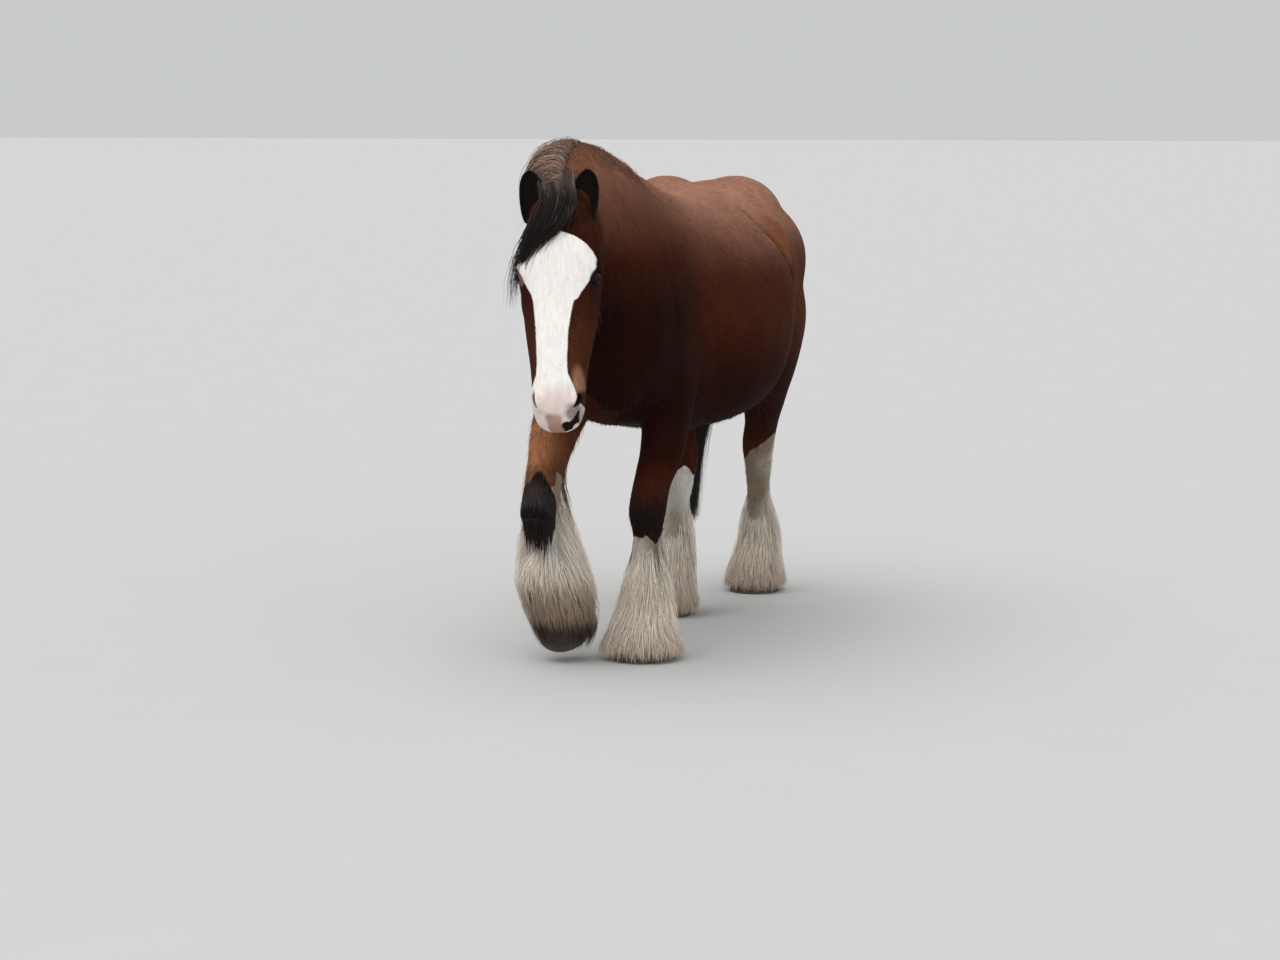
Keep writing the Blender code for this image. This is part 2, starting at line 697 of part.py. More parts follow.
def build_upper_legs(flesh):
    """Cuts the four upper legs from the flesh, which keeps the rest."""
    legs = []
    for name in LOWER:
        inside = leg_box(name, -GAP / 2)
        leg = boolean(copied(flesh, "upper_leg_" + name), "INTERSECT", inside)
        discard([inside])
        cut_level(leg, LEG_CUT[name] + GAP / 2, True)
        legs.append(largest_shell(leg))
    for name in LOWER:
        outside = leg_box(name, GAP / 2)
        boolean(flesh, "DIFFERENCE", outside)
        discard([outside])
    return legs


def cut_level(obj, level, keep_above):
    """Cuts off what is under a level, or what is over it."""
    return cut_by_plane(obj, (0.0, 0.0, level), (0.0, 1.0), keep_above, 0.0)


def build_ear(name, sign):
    """A cupped leaf of an ear, its hollow turned forwards and a little out."""
    rings = []
    base = Vector((sign * 0.076, 0.034, -0.052))
    tip = Vector((sign * 0.096, 0.012, EAR_LENGTH - 0.052))
    facing = Vector((sign * 0.30, -1.0, 0.12)).normalized()
    along = (tip - base).normalized()
    across = along.cross(facing).normalized()
    for share, width, depth in EAR_SHAPE:
        centre = base.lerp(tip, share) - facing * (0.010 * math.sin(math.pi * share))
        ring = []
        for index in range(EAR_SIDES):
            turn = EAR_WRAP * (2 * index / (EAR_SIDES - 1) - 1)
            ring.append(centre + across * (width * math.sin(turn)) - facing * (depth * math.cos(turn)))
        for index in reversed(range(EAR_SIDES)):
            turn = EAR_WRAP * (2 * index / (EAR_SIDES - 1) - 1)
            inner_width, inner_depth = max(width - 0.004, width * 0.4), max(depth - 0.006, depth * 0.3)
            ring.append(centre + across * (inner_width * math.sin(turn))
                        - facing * (inner_depth * math.cos(turn)))
        rings.append([HEAD_FRAME @ point for point in ring])
    return loft_object(name, rings)


def eye_matrix(sign):
    """From an eye's own axes (along the lids, down, outwards) to its place on the head."""
    outwards = Vector((sign * 0.90, -0.42, 0.10)).normalized()
    along = Vector((0, -0.62, -0.79))
    along = (along - outwards * along.dot(outwards)).normalized()
    turn = Matrix((along, outwards.cross(along), outwards)).transposed().to_4x4()
    return HEAD_FRAME @ Matrix.Translation((sign * EYE_SIDE, -EYE_OUT, -EYE_DOWN)) @ turn


def build_eye(name, sign):
    return ball(name, eye_matrix(sign), (EYE_RADIUS,) * 3, 12, 8)


def eyelids(sign):
    """Both lids of an eye as one ring of skin, long along the lids and narrow across them."""
    bpy.ops.mesh.primitive_torus_add(major_segments=14, minor_segments=5, major_radius=0.0205,
                                     minor_radius=0.0068)
    ring = bpy.context.object
    shape = Matrix.Translation((0, 0, 0.0110)) @ Matrix.Diagonal((1.18, 0.86, 1.0, 1.0))
    ring.data.transform(eye_matrix(sign) @ shape)
    if eye_matrix(sign).determinant() < 0:
        ring.data.flip_normals()
    return ring


def eye_opening(sign):
    """The almond gap between the lids, cut through the skin over the eyeball."""
    matrix = eye_matrix(sign) @ Matrix.Translation((0, 0, 0.022))
    return ball("gap", matrix, (0.0185, 0.0112, 0.020), 14, 8)


def nostril(sign):
    """A slanting nostril, deep at its top and narrow below."""
    matrix = HEAD_FRAME @ Matrix.Translation((sign * 0.066, 0.022, -0.632))
    matrix = matrix @ Matrix.Rotation(sign * math.radians(-24), 4, "Y") @ Matrix.Rotation(
        sign * math.radians(32), 4, "Z")
    return ball("nostril", matrix, (0.024, 0.0105, 0.021), 14, 8)


def mouth_line(head):
    """A shallow cut along the lips, from one corner of the mouth round to the other."""
    bm = bmesh.new()
    bm.from_mesh(head.data)
    tree = BVHTree.FromBMesh(bm)
    bm.free()
    centre = Vector((0, 0.116, -0.632))
    up = HEAD_FRAME.to_3x3() @ Vector((0, 1, 0))
    rings = []
    for step in range(15):
        turn = math.radians(-105 + 210 * step / 14)
        away = Vector((math.sin(turn), 0, -math.cos(turn)))
        direction = (HEAD_FRAME.to_3x3() @ away).normalized()
        place = tree.ray_cast(HEAD_FRAME @ centre, direction)[0]
        depth = 0.0085 if 0 < step < 14 else 0.002
        rings.append([place + direction * 0.004 + up * 0.0028, place - direction * depth,
                      place + direction * 0.004 - up * 0.0028])
    return loft_object("mouth", rings)


def lock(centres, widths, outs, flatness=0.34):
    """A flat, tapered lock of hair: a three-sided bar with its ridge turned out."""
    rings = []
    for index, centre in enumerate(centres):
        along = (centres[min(index + 1, len(centres) - 1)] - centres[max(index - 1, 0)]).normalized()
        out = (outs[index] - along * outs[index].dot(along)).normalized()
        across = along.cross(out)
        width = widths[index]
        rings.append([centre - across * width - out * (width * flatness * 0.5),
                      centre + across * width - out * (width * flatness * 0.5),
                      centre + out * (width * flatness)])
    return loft_object("lock", rings)


def tapered(width, count, root=0.75):
    """Half widths of a lock from its root, through its fullest part, to its tip."""
    widths = []
    for index in range(count):
        share = index / (count - 1)
        widths.append(width * (root + (1 - root) * min(share * 3, 1)) * (1 - share ** 2.4) + 0.0008)
    return widths


def forelock_locks(chance):
    """Locks from the poll, fanned from the middle of the brow to past the right eye."""
    locks = []
    out = HEAD_FRAME.to_3x3() @ Vector((-0.45, -1, 0.25))
    for index in range(FORELOCK_LOCKS):
        fan = 2 * index / (FORELOCK_LOCKS - 1) - 1
        reach = 0.86 + 0.24 * chance.random()
        centres = []
        for step, (side, down, away, spread) in enumerate(FORELOCK):
            if step:
                down *= reach
            lift = 0.004 * (index % 3)
            centres.append(head_place(side + spread * fan, down, away + lift))
        locks.append(lock(centres, tapered(0.0170, len(centres)), [out] * len(centres)))
    return locks


def neck_point(row, turn, over):
    """A point over the neck's skin: turn 90 is the crest and turn 180 the right side."""
    high = spot(row.side, row.high_ahead, row.high_up)
    low = spot(row.side, row.low_ahead, row.low_up)
    centre = low.lerp(high, row.widest)
    across, up = math.cos(math.radians(turn)), math.sin(math.radians(turn))
    share = 2 / (row.high_power if up > 0 else row.low_power)
    across = math.copysign(abs(across) ** share, across)
    up = math.copysign(abs(up) ** share, up)
    arm = (high - centre) if up > 0 else (centre - low)
    point = centre + Vector((row.half_width * across, 0, 0)) + arm * up
    out = (Vector((across / row.half_width, 0, 0)) + arm.normalized() * (up / arm.length)).normalized()
    return point + out * over, out


def mane_locks(chance):
    """Locks rooted along the crest, each over the top and down the neck's right side."""
    rows = [Slice(*row) for row in blend_rows(NECK, 12)]
    locks = []
    for index in range(MANE_LOCKS):
        share = MANE_FROM + (MANE_TO - MANE_FROM) * index / (MANE_LOCKS - 1)
        fullness = math.sin(math.pi * (0.22 + 0.66 * index / (MANE_LOCKS - 1)))
        length = (66 + 16 * chance.random()) * fullness
        drift = 0.05 * (chance.random() - 0.45)
        centres, outs = [], []
        for step, over in enumerate((-0.022, 0.026, 0.036, 0.030, 0.016)):
            along = step / 4
            place = share + drift * along - 0.012 * along
            row = rows[int(round(place * (len(rows) - 1)))]
            over += 0.008 * (index % 2) * (step > 0)
            point, out = neck_point(row, 78 + length * along, over)
            centres.append(point)
            outs.append(out)
        locks.append(lock(centres, tapered(0.038 * (0.7 + 0.3 * fullness), 5), outs))
    return locks


def mane_core():
    """The low ridge of hair that the mane's locks stand in."""
    rows = [Slice(*row) for row in blend_rows(NECK, 12)]
    rings = []
    for step in range(12):
        share = MANE_FROM + 0.02 + (MANE_TO - MANE_FROM - 0.04) * step / 11
        row = rows[int(round(share * (len(rows) - 1)))]
        lift = MANE_CORE_OVER * (0.3 if step in (0, 11) else 1.0)
        rings.append([neck_point(row, turn, lift)[0] for turn in (74, 90, 104, 120)]
                     + [neck_point(row, turn, -0.02)[0] for turn in (120, 90, 74)])
    return loft_object("mane_core", rings)


def feather_core(leg, profile):
    """The skirt of hair that the feather's locks stand in, less deep than their tips."""
    line = leg_line(leg)
    rings = []
    for up, side_reach, back_reach in profile[::2]:
        centre = point_at_height(line, up)
        thin = 1 - FEATHER_DEPTH * min(1.0, (profile[0][0] - up) / 0.2)
        ring = []
        for across, ahead in rounded(9, 2.0, 2.0):
            reach = side_reach * 0.90 if ahead > 0 else back_reach
            ring.append(spot(centre.x + across * side_reach * thin, centre.y + ahead * reach * thin,
                             max(up, FEATHER_FLOOR)))
        rings.append(ring)
    return loft_object("feather", rings)


def leg_line(leg):
    return [Vector(place) for place in (leg.start, leg.joint, leg.fetlock, leg.coronet, leg.sole)]


def reach_at(profile, up):
    """Side and back reach of the feather's outer surface at a height."""
    for (high, *above), (low, *under) in zip(profile, profile[1:]):
        if up >= low:
            share = (high - up) / (high - low)
            return [a + (b - a) * share for a, b in zip(above, under)]
    return list(profile[-1][1:])


def feather_place(leg, profile, up, turn, depth):
    """A place in the feather: round the leg by turn, and from the leg's axis 0 to its outside 1."""
    centre = point_at_height(leg_line(leg), up)
    side_reach, back_reach = reach_at(profile, up)
    across, ahead = math.sin(turn), math.cos(turn)
    reach = side_reach * 0.90 if ahead > 0 else back_reach
    return spot(centre.x + across * side_reach * depth, centre.y + ahead * reach * depth, up)


def feather_locks(leg, profile, rows, chance):
    """Rows of locks that hang round the leg, the lowest out to just over the floor."""
    locks = []
    for row, (root, tip, count, width) in enumerate(rows):
        for index in range(count):
            turn = 2 * math.pi * (index + 0.5 * (row % 2) + 0.3 * chance.random()) / count
            twist = 0.16 * (chance.random() - 0.5)
            low = tip + (root - tip) * 0.16 * chance.random()
            centres, outs = [], []
            for step, depth in enumerate((0.60, 0.90, 0.97, 1.0)):
                share = step / 3
                up = root + (low - root) * share
                centres.append(feather_place(leg, profile, up, turn + twist * share, depth))
                outs.append(Vector((math.sin(turn), -math.cos(turn), 0.25)))
            locks.append(lock(centres, tapered(width, 4), outs))
    return locks


def point_at_height(line, up):
    """Where a falling line of (side, ahead, up) points is at a height."""
    for high, low in zip(line, line[1:]):
        if up >= low.z:
            share = (high.z - up) / (high.z - low.z)
            return high.lerp(low, share)
    return line[-1].copy()


def build_lower_leg(name, leg, chance):
    core = loft_object("lower_leg_" + name, leg_rings(lower_leg_rows(leg), 12, 1))
    cut_level(core, LEG_CUT[name] - GAP / 2, False)
    profile = LIFTED_FEATHER if leg.toe_down else HIND_FEATHER if leg.hind else FEATHER
    rows = LIFTED_ROWS if leg.toe_down else FEATHER_ROWS
    united(core, [feather_core(leg, profile)] + feather_locks(leg, profile, rows, chance))
    space = hoof("space", leg, GAP)
    boolean(core, "DIFFERENCE", space)
    discard([space])
    return largest_shell(core)


def tail_frames(steps):
    """The tail's line as centres, directions across and behind, and half widths."""
    rows = [Ring(*row) for row in blend_rows(TAIL, steps)]
    centres = [spot(row.side, row.ahead, row.up) for row in rows]
    frames = []
    for index, row in enumerate(rows):
        along = (centres[min(index + 1, len(rows) - 1)] - centres[max(index - 1, 0)]).normalized()
        across = (Vector((1, 0, 0)) - along * along.x).normalized()
        frames.append((centres[index], across, along.cross(across), row.half_width, row.back))
    return frames


def tail_locks(chance):
    """Long locks that leave the dock one after another and fall along the tail's line."""
    frames = tail_frames(6)
    last = len(frames) - 1
    locks = []
    for index in range(TAIL_LOCKS):
        turn = 2 * math.pi * (index * 0.382)
        start = 0.08 + 0.26 * index / TAIL_LOCKS
        end = 0.74 + 0.26 * chance.random()
        if index % 6 == 5:
            end = 1.0
        centres, outs = [], []
        for step in range(6):
            share = step / 5
            centre, across, behind, wide, thick = frames[int(round((start + (end - start) * share) * last))]
            depth = 0.25 + 0.60 * min(share * 3, 1)
            out = across * math.cos(turn) * wide + behind * math.sin(turn) * thick
            centres.append(centre + out * depth)
            outs.append(out.normalized())
        locks.append(lock(centres, tapered(0.036, 6), outs, 0.5))
    return locks


def build_tail(torso, chance):
    core_rows = [Ring(*row[:3], *(reach * (1.0 if index < 2 else TAIL_CORE) for reach in row[3:]))
                 for index, row in enumerate(TAIL[:-1])]
    tail = loft_object("tail", leg_rings(core_rows, 8, 1))
    united(tail, tail_locks(chance))
    room = grown(torso, GAP)
    boolean(tail, "DIFFERENCE", room)
    discard([room])
    return largest_shell(tail)


def take_away(obj, cutters):
    for cutter in cutters:
        room = grown(cutter, GAP)
        boolean(obj, "DIFFERENCE", room)
        discard([room])
    return obj


def centre_on_floor():
    """Moves everything so that the origin is the middle of the horse's box, on the floor."""
    points = [vert.co for obj in bpy.data.objects for vert in obj.data.vertices]
    lowest = [min(point[axis] for point in points) for axis in range(3)]
    highest = [max(point[axis] for point in points) for axis in range(3)]
    shift = Vector((-(lowest[0] + highest[0]) / 2, -(lowest[1] + highest[1]) / 2, 0.0))
    for obj in bpy.data.objects:
        obj.data.transform(Matrix.Translation(shift))


def main():
    for old in list(bpy.data.objects):
        bpy.data.objects.remove(old)
    flesh = build_flesh()
    cut_by_plane(flesh, *THROAT_CUT, False, GAP)
    legs = build_upper_legs(flesh)
    neck = cut_by_plane(copied(flesh, "neck"), *SHOULDER_CUT, True, GAP)
    torso = cut_by_plane(copied(flesh, "torso"), *SHOULDER_CUT, False, GAP)
    discard([flesh])
    largest_shell(neck)
    largest_shell(torso)
    chance = random.Random(HAIR_SEED)
    united(neck, [mane_core()] + mane_locks(chance))
    cut_by_plane(neck, *THROAT_CUT, False, GAP)
    cut_by_plane(neck, *SHOULDER_CUT, True, GAP)
    largest_shell(neck)
    head = build_head()
    united(head, forelock_locks(chance))
    cut_by_plane(head, *THROAT_CUT, True, GAP)
    eyes = [build_eye("eye_left", 1), build_eye("eye_right", -1)]
    ears = [build_ear("ear_left", 1), build_ear("ear_right", -1)]
    take_away(head, eyes)
    largest_shell(head)
    for ear in ears:
        take_away(ear, [head])
        largest_shell(ear)
    build_tail(torso, chance)
    for name, leg in LOWER.items():
        hoof("hoof_" + name, leg)
        build_lower_leg(name, leg, chance)
    centre_on_floor()
    for obj in bpy.data.objects:
        coloured(obj)


main()
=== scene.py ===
"""Looks of a still, life-size model of a walking heavy draught horse.

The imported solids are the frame. This file repeats the horse's driving tables from its source,
grows one skin from them, and puts eyes, hooves and solid hair on it.
A place is written as (side, ahead, up): to the horse's left, towards its head, and over the floor.
"""

import math
from contextlib import contextmanager
from typing import NamedTuple

import bmesh
import bpy
import numpy as np
from bpy.props import FloatProperty, FloatVectorProperty, IntProperty, PointerProperty
from bpy.types import Operator, Panel, PropertyGroup
from mathutils import Matrix, Vector
from mathutils.bvhtree import BVHTree


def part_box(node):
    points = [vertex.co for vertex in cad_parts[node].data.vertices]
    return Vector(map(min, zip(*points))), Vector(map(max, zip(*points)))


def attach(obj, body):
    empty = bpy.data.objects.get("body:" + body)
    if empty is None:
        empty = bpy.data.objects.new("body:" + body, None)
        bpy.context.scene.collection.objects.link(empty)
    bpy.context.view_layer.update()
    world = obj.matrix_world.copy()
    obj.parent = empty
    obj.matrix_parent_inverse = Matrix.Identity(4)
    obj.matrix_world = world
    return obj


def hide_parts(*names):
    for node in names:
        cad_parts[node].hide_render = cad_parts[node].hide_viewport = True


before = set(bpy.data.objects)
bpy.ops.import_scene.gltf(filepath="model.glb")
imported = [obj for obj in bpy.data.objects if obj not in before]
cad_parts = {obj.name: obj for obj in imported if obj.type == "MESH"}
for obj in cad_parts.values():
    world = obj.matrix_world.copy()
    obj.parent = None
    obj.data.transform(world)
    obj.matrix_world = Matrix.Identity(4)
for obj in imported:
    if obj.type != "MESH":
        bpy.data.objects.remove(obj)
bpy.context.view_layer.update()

bl_info = {
    "name": "Draught Horse Looks",
    "version": (1, 0, 0),
    "blender": (4, 5, 0),
    "location": "View3D > Sidebar > Horse",
    "description": "Skin, eyes, hooves, hair and stage of a still draught horse",
    "category": "Object",
}

# Points round a section, and rows made from one given row to the next.
SECTION_SIDES, LEG_SIDES = 36, 24
BODY_STEPS, LEG_STEPS, CURVE_STEPS = 6, 5, 12
LEG_POWER = 2.1
SIDEWAYS = (1.0, 0.0, 0.0)

# The head: the poll is the top of the skull between the ears, and the face slopes down from it.
POLL = (0.058, 1.165, 1.573)
FACE_FROM_PLUMB = math.radians(20)
HEAD_TURN = math.radians(14.0)
HEAD_ROLL = math.radians(1.5)
THROAT_CUT = ((0.0, 1.085, 1.62), (0.934, -0.357))

# How much further the head's depths lie to the horse's right, for each metre in from the face.
JAW_SWING = 0.065

EYE_RADIUS = 0.0215
EYE_SIDE, EYE_DOWN, EYE_OUT = 0.1100, 0.246, -0.047

# Eyes and nostrils: the place and the way outwards, in the head's own axes.
EYE_ALONG = (0, -0.62, -0.79)
LEFT_EYE = ((0.1050, 0.035, -0.246), (0.79, -0.61, 0.08))
RIGHT_EYE = ((-0.1240, 0.045, -0.236), (-0.85, -0.52, 0.08))
LEFT_NOSTRIL = ((0.0645, 0.024, -0.644), (0.74, -0.65, -0.16))
RIGHT_NOSTRIL = ((-0.0760, 0.034, -0.640), (-0.88, -0.65, -0.16))
NOSTRIL_HALF_LENGTH = 0.0250
FAR_OFF = 9.0

# The pupil's half length and half height, as shares of the eyeball's radius.
PUPIL_LONG, PUPIL_HIGH = 0.36, 0.20
PUPIL_COLOUR = (0.002, 0.002, 0.004, 1.0)
IRIS_EDGE_COLOUR = (0.010, 0.006, 0.004, 1.0)
EYE_WHITE_COLOUR = (0.030, 0.018, 0.012, 1.0)

# Lids: half length, half heights over and under, how they round off, and rings of (offset from
# the margin, lift over the ball, share on the skin).
LID_STEPS = 40
LID_LONG, LID_HIGH, LID_LOW = 0.0195, 0.0112, 0.0095
LID_CORNER, LID_ARCH = 1.15, 0.92
LID_RAY = 0.12
LID_RINGS = (
    (-0.0030, -0.0034, 0.0), (-0.0008, -0.0002, 0.0), (0.0, 0.0014, 0.0), (0.0016, 0.0022, 0.02),
    (0.0036, 0.0022, 0.12), (0.0056, 0.0010, 0.35), (0.0084, 0.0016, 0.65), (0.0120, 0.0010, 0.90),
    (0.0165, 0.0004, 1.0), (0.0210, -0.0030, 1.0),
)

EAR_LENGTH = 0.160
EAR_WRAP = math.radians(108)
EAR_SHAPE = (
    (0.00, 0.031, 0.027), (0.15, 0.039, 0.029), (0.35, 0.043, 0.030), (0.55, 0.043, 0.028),
    (0.75, 0.038, 0.023), (0.90, 0.026, 0.016), (0.97, 0.014, 0.009), (1.00, 0.004, 0.004),
)
EAR_SIDES, EAR_STEPS = 13, 5


class Slice(NamedTuple):
    """A section of a body: its high and low points, half its width and how it rounds off."""

    side: float
    high_ahead: float
    high_up: float
    low_ahead: float
    low_up: float
    half_width: float
    widest: float = 0.5
    high_power: float = 2.0
    low_power: float = 2.0


class Ring(NamedTuple):
    """A section of a leg: its centre, half its width, and its reach in front and behind."""

    side: float
    ahead: float
    up: float
    half_width: float
    front: float
    back: float


TRUNK = (
    Slice(-0.020, -0.958, 1.350, -0.950, 1.190, 0.100),
    Slice(-0.020, -0.930, 1.430, -0.935, 1.080, 0.215),
    Slice(-0.022, -0.860, 1.515, -0.870, 0.990, 0.282, 0.55),
    Slice(-0.024, -0.740, 1.572, -0.740, 0.925, 0.330, 0.60),
    Slice(-0.024, -0.580, 1.598, -0.560, 0.860, 0.350, 0.58),
    Slice(-0.014, -0.400, 1.588, -0.380, 0.796, 0.386, 0.48, 2.0, 2.5),
    Slice(-0.004, -0.200, 1.568, -0.200, 0.748, 0.406, 0.42, 1.9, 2.6),
    Slice(0, 0.030, 1.570, 0.030, 0.738, 0.390, 0.40, 1.8, 2.5),
    Slice(0, 0.220, 1.608, 0.220, 0.757, 0.335, 0.41, 1.7, 2.2),
    Slice(0, 0.390, 1.655, 0.400, 0.785, 0.272, 0.42, 1.55, 2.1),
    Slice(0, 0.530, 1.640, 0.580, 0.805, 0.250, 0.42, 1.7),
    Slice(0, 0.660, 1.500, 0.720, 0.865, 0.238, 0.45),
    Slice(0, 0.755, 1.340, 0.780, 0.970, 0.190),
    Slice(0, 0.805, 1.220, 0.810, 1.080, 0.105),
)

NECK = (
    Slice(0.000, 0.330, 1.560, 0.620, 0.930, 0.235, 0.45),
    Slice(0.000, 0.450, 1.662, 0.770, 1.080, 0.222, 0.42, 1.7),
    Slice(0.000, 0.580, 1.706, 0.838, 1.170, 0.198, 0.42, 1.6),
    Slice(0.000, 0.720, 1.736, 0.885, 1.232, 0.172, 0.42, 1.6),
    Slice(0.002, 0.860, 1.742, 0.918, 1.272, 0.151, 0.44, 1.6),
    Slice(0.016, 0.985, 1.716, 0.940, 1.292, 0.134, 0.47, 1.7),
    Slice(0.036, 1.085, 1.658, 0.965, 1.300, 0.117, 0.50, 1.9),
    Slice(0.050, 1.145, 1.585, 1.010, 1.310, 0.095),
)

# The head's sections: distance down from the poll, face, jaw, half width, widest, face power.
HEAD = (
    (-0.042, -0.070, -0.150, 0.048, 0.50, 2.0),
    (-0.020, -0.030, -0.190, 0.080, 0.60, 2.0),
    (0.030, -0.004, -0.215, 0.102, 0.64, 2.3),
    (0.100, 0.010, -0.240, 0.124, 0.68, 2.7),
    (0.175, 0.014, -0.278, 0.134, 0.70, 2.9),
    (0.245, 0.009, -0.304, 0.132, 0.68, 2.8),
    (0.310, 0.004, -0.298, 0.121, 0.66, 2.7),
    (0.375, 0.001, -0.262, 0.113, 0.62, 2.6),
    (0.450, 0.000, -0.212, 0.102, 0.58, 2.5),
    (0.525, 0.000, -0.178, 0.091, 0.56, 2.4),
    (0.590, -0.001, -0.162, 0.086, 0.56, 2.4),
    (0.640, -0.008, -0.155, 0.085, 0.54, 2.3),
    (0.680, -0.026, -0.146, 0.076, 0.52, 2.2),
    (0.708, -0.048, -0.132, 0.060, 0.50, 2.0),
    (0.725, -0.074, -0.112, 0.030, 0.50, 2.0),
)

# Lumps on the skull: side, down, out, radii (across, down, out) and twist. From the top: brows,
# cheeks, face crests, nostril rims, ear muscles, upper lip, lower lip and chin.
HEAD_LUMPS = (
    (0.095, 0.210, -0.042, (0.034, 0.050, 0.036), 0.0),
    (0.068, 0.255, -0.190, (0.052, 0.125, 0.105), 0.0),
    (0.083, 0.330, -0.085, (0.019, 0.100, 0.020), 0.18),
    (0.047, 0.630, -0.045, (0.029, 0.050, 0.036), -0.1),
    (0.048, 0.045, -0.030, (0.040, 0.060, 0.045), 0.0),
    (0.0, 0.695, -0.074, (0.050, 0.036, 0.040), 0.0),
    (0.0, 0.676, -0.132, (0.039, 0.040, 0.028), 0.0),
    (0.0, 0.640, -0.152, (0.031, 0.034, 0.024), 0.0),
)

# How much further in the right brow and the bones under it lie, and down to where.
BROW_SWING, BROW_DOWN = 0.013, 0.35

# Muscles: sides, ahead, up, radii and tilt in degrees. Shoulders, chest, breast, elbows, then
# croup, hips and haunches, which stand a little to the right with the pose.
MUSCLES = (
    ((0.168, -0.168), 0.500, 1.200, (0.088, 0.190, 0.330), -22),
    ((0.105, -0.105), 0.650, 1.120, (0.135, 0.140, 0.200), 0),
    ((0.080, -0.080), 0.715, 1.010, (0.105, 0.090, 0.150), 0),
    ((0.160, -0.160), 0.400, 0.980, (0.090, 0.160, 0.150), 0),
    ((0.085, -0.185), -0.560, 1.425, (0.175, 0.280, 0.193), 0),
    ((0.235, -0.280), -0.440, 1.365, (0.078, 0.150, 0.110), 0),
    ((0.128, -0.168), -0.790, 1.230, (0.130, 0.165, 0.250), 0),
)

# Legs, from inside the trunk to the joint that parts the upper leg from the lower.
FORE_LEFT = (
    Ring(0.165, 0.520, 1.120, 0.090, 0.150, 0.160),
    Ring(0.172, 0.450, 0.940, 0.092, 0.125, 0.145),
    Ring(0.165, 0.445, 0.830, 0.082, 0.104, 0.116),
    Ring(0.150, 0.458, 0.700, 0.074, 0.079, 0.083),
    Ring(0.121, 0.470, 0.600, 0.063, 0.065, 0.064),
    Ring(0.107, 0.475, 0.500, 0.060, 0.062, 0.060),
)
FORE_RIGHT = (
    Ring(-0.165, 0.540, 1.120, 0.090, 0.150, 0.160),
    Ring(-0.180, 0.480, 0.955, 0.095, 0.128, 0.145),
    Ring(-0.184, 0.530, 0.855, 0.089, 0.105, 0.116),
    Ring(-0.188, 0.600, 0.760, 0.079, 0.082, 0.085),
    Ring(-0.188, 0.660, 0.670, 0.068, 0.068, 0.066),
    Ring(-0.186, 0.725, 0.565, 0.061, 0.062, 0.060),
    Ring(-0.184, 0.770, 0.490, 0.058, 0.058, 0.056),
)
HIND_LEFT = (
    Ring(0.140, -0.690, 1.300, 0.130, 0.230, 0.220),
    Ring(0.168, -0.665, 1.120, 0.145, 0.235, 0.245),
    Ring(0.178, -0.670, 0.960, 0.120, 0.190, 0.195),
    Ring(0.140, -0.765, 0.800, 0.085, 0.108, 0.122),
    Ring(0.102, -0.848, 0.680, 0.064, 0.066, 0.088),
    Ring(0.077, -0.900, 0.570, 0.057, 0.056, 0.070),
    Ring(0.058, -0.950, 0.460, 0.050, 0.050, 0.060),
)
HIND_RIGHT = (
    Ring(-0.165, -0.680, 1.300, 0.130, 0.230, 0.220),
    Ring(-0.195, -0.590, 1.120, 0.142, 0.240, 0.245),
    Ring(-0.212, -0.515, 0.960, 0.118, 0.185, 0.195),
    Ring(-0.175, -0.535, 0.800, 0.084, 0.108, 0.122),
    Ring(-0.138, -0.560, 0.670, 0.063, 0.066, 0.088),
    Ring(-0.119, -0.545, 0.550, 0.056, 0.056, 0.070),
    Ring(-0.116, -0.500, 0.440, 0.050, 0.050, 0.060),
)


class LowerLeg(NamedTuple):
    """The joints of a lower leg: where it starts, the knee or hock, fetlock, coronet and sole."""

    start: tuple
    joint: tuple
    fetlock: tuple
    coronet: tuple
    sole: tuple
    toe_down: float
    hind: bool


LOWER = {
    "fore_left": LowerLeg((0.132, 0.467, 0.665), (0.107, 0.475, 0.510), (0.094, 0.455, 0.205),
                          (0.096, 0.500, 0.098), (0.098, 0.520, 0.0), 0.0, False),
    "fore_right": LowerLeg((-0.189, 0.608, 0.750), (-0.188, 0.694, 0.600), (-0.176, 0.640, 0.305),
                           (-0.154, 0.634, 0.205), (-0.136, 0.630, 0.110), math.radians(46), False),
    "hind_left": LowerLeg((0.111, -0.828, 0.710), (0.074, -0.893, 0.585), (0.036, -1.040, 0.205),
                          (0.034, -1.000, 0.098), (0.034, -0.985, 0.0), 0.0, True),
    "hind_right": LowerLeg((-0.142, -0.558, 0.690), (-0.120, -0.552, 0.565), (-0.114, -0.430, 0.205),
                           (-0.114, -0.375, 0.098), (-0.114, -0.355, 0.0), 0.0, True),
}
# Sections of a lower leg. Each lies between two of its joints (0 start, 1 knee or hock, 2 fetlock,
# 3 coronet) at a share of the way, with half its width and its reach in front and behind.
FORE_SHAPE = (
    (0, 2, 0.00, 0.0615, 0.0640, 0.0620), (1, 2, 0.00, 0.0655, 0.0670, 0.0600),
    (1, 2, 0.22, 0.0540, 0.0520, 0.0540), (1, 2, 0.50, 0.0440, 0.0440, 0.0520),
    (1, 2, 0.77, 0.0455, 0.0480, 0.0580),
)
HIND_SHAPE = (
    (0, 2, 0.00, 0.0595, 0.0600, 0.0840), (1, 2, 0.00, 0.0610, 0.0580, 0.0840),
    (1, 2, 0.18, 0.0530, 0.0510, 0.0600), (1, 2, 0.45, 0.0450, 0.0450, 0.0530),
    (1, 2, 0.75, 0.0460, 0.0490, 0.0580),
)
FOOT_SHAPE = (
    (2, 3, 0.00, 0.0540, 0.0550, 0.0650), (2, 3, 0.55, 0.0520, 0.0520, 0.0600),
    (2, 3, 1.00, 0.0700, 0.0700, 0.0700),
)
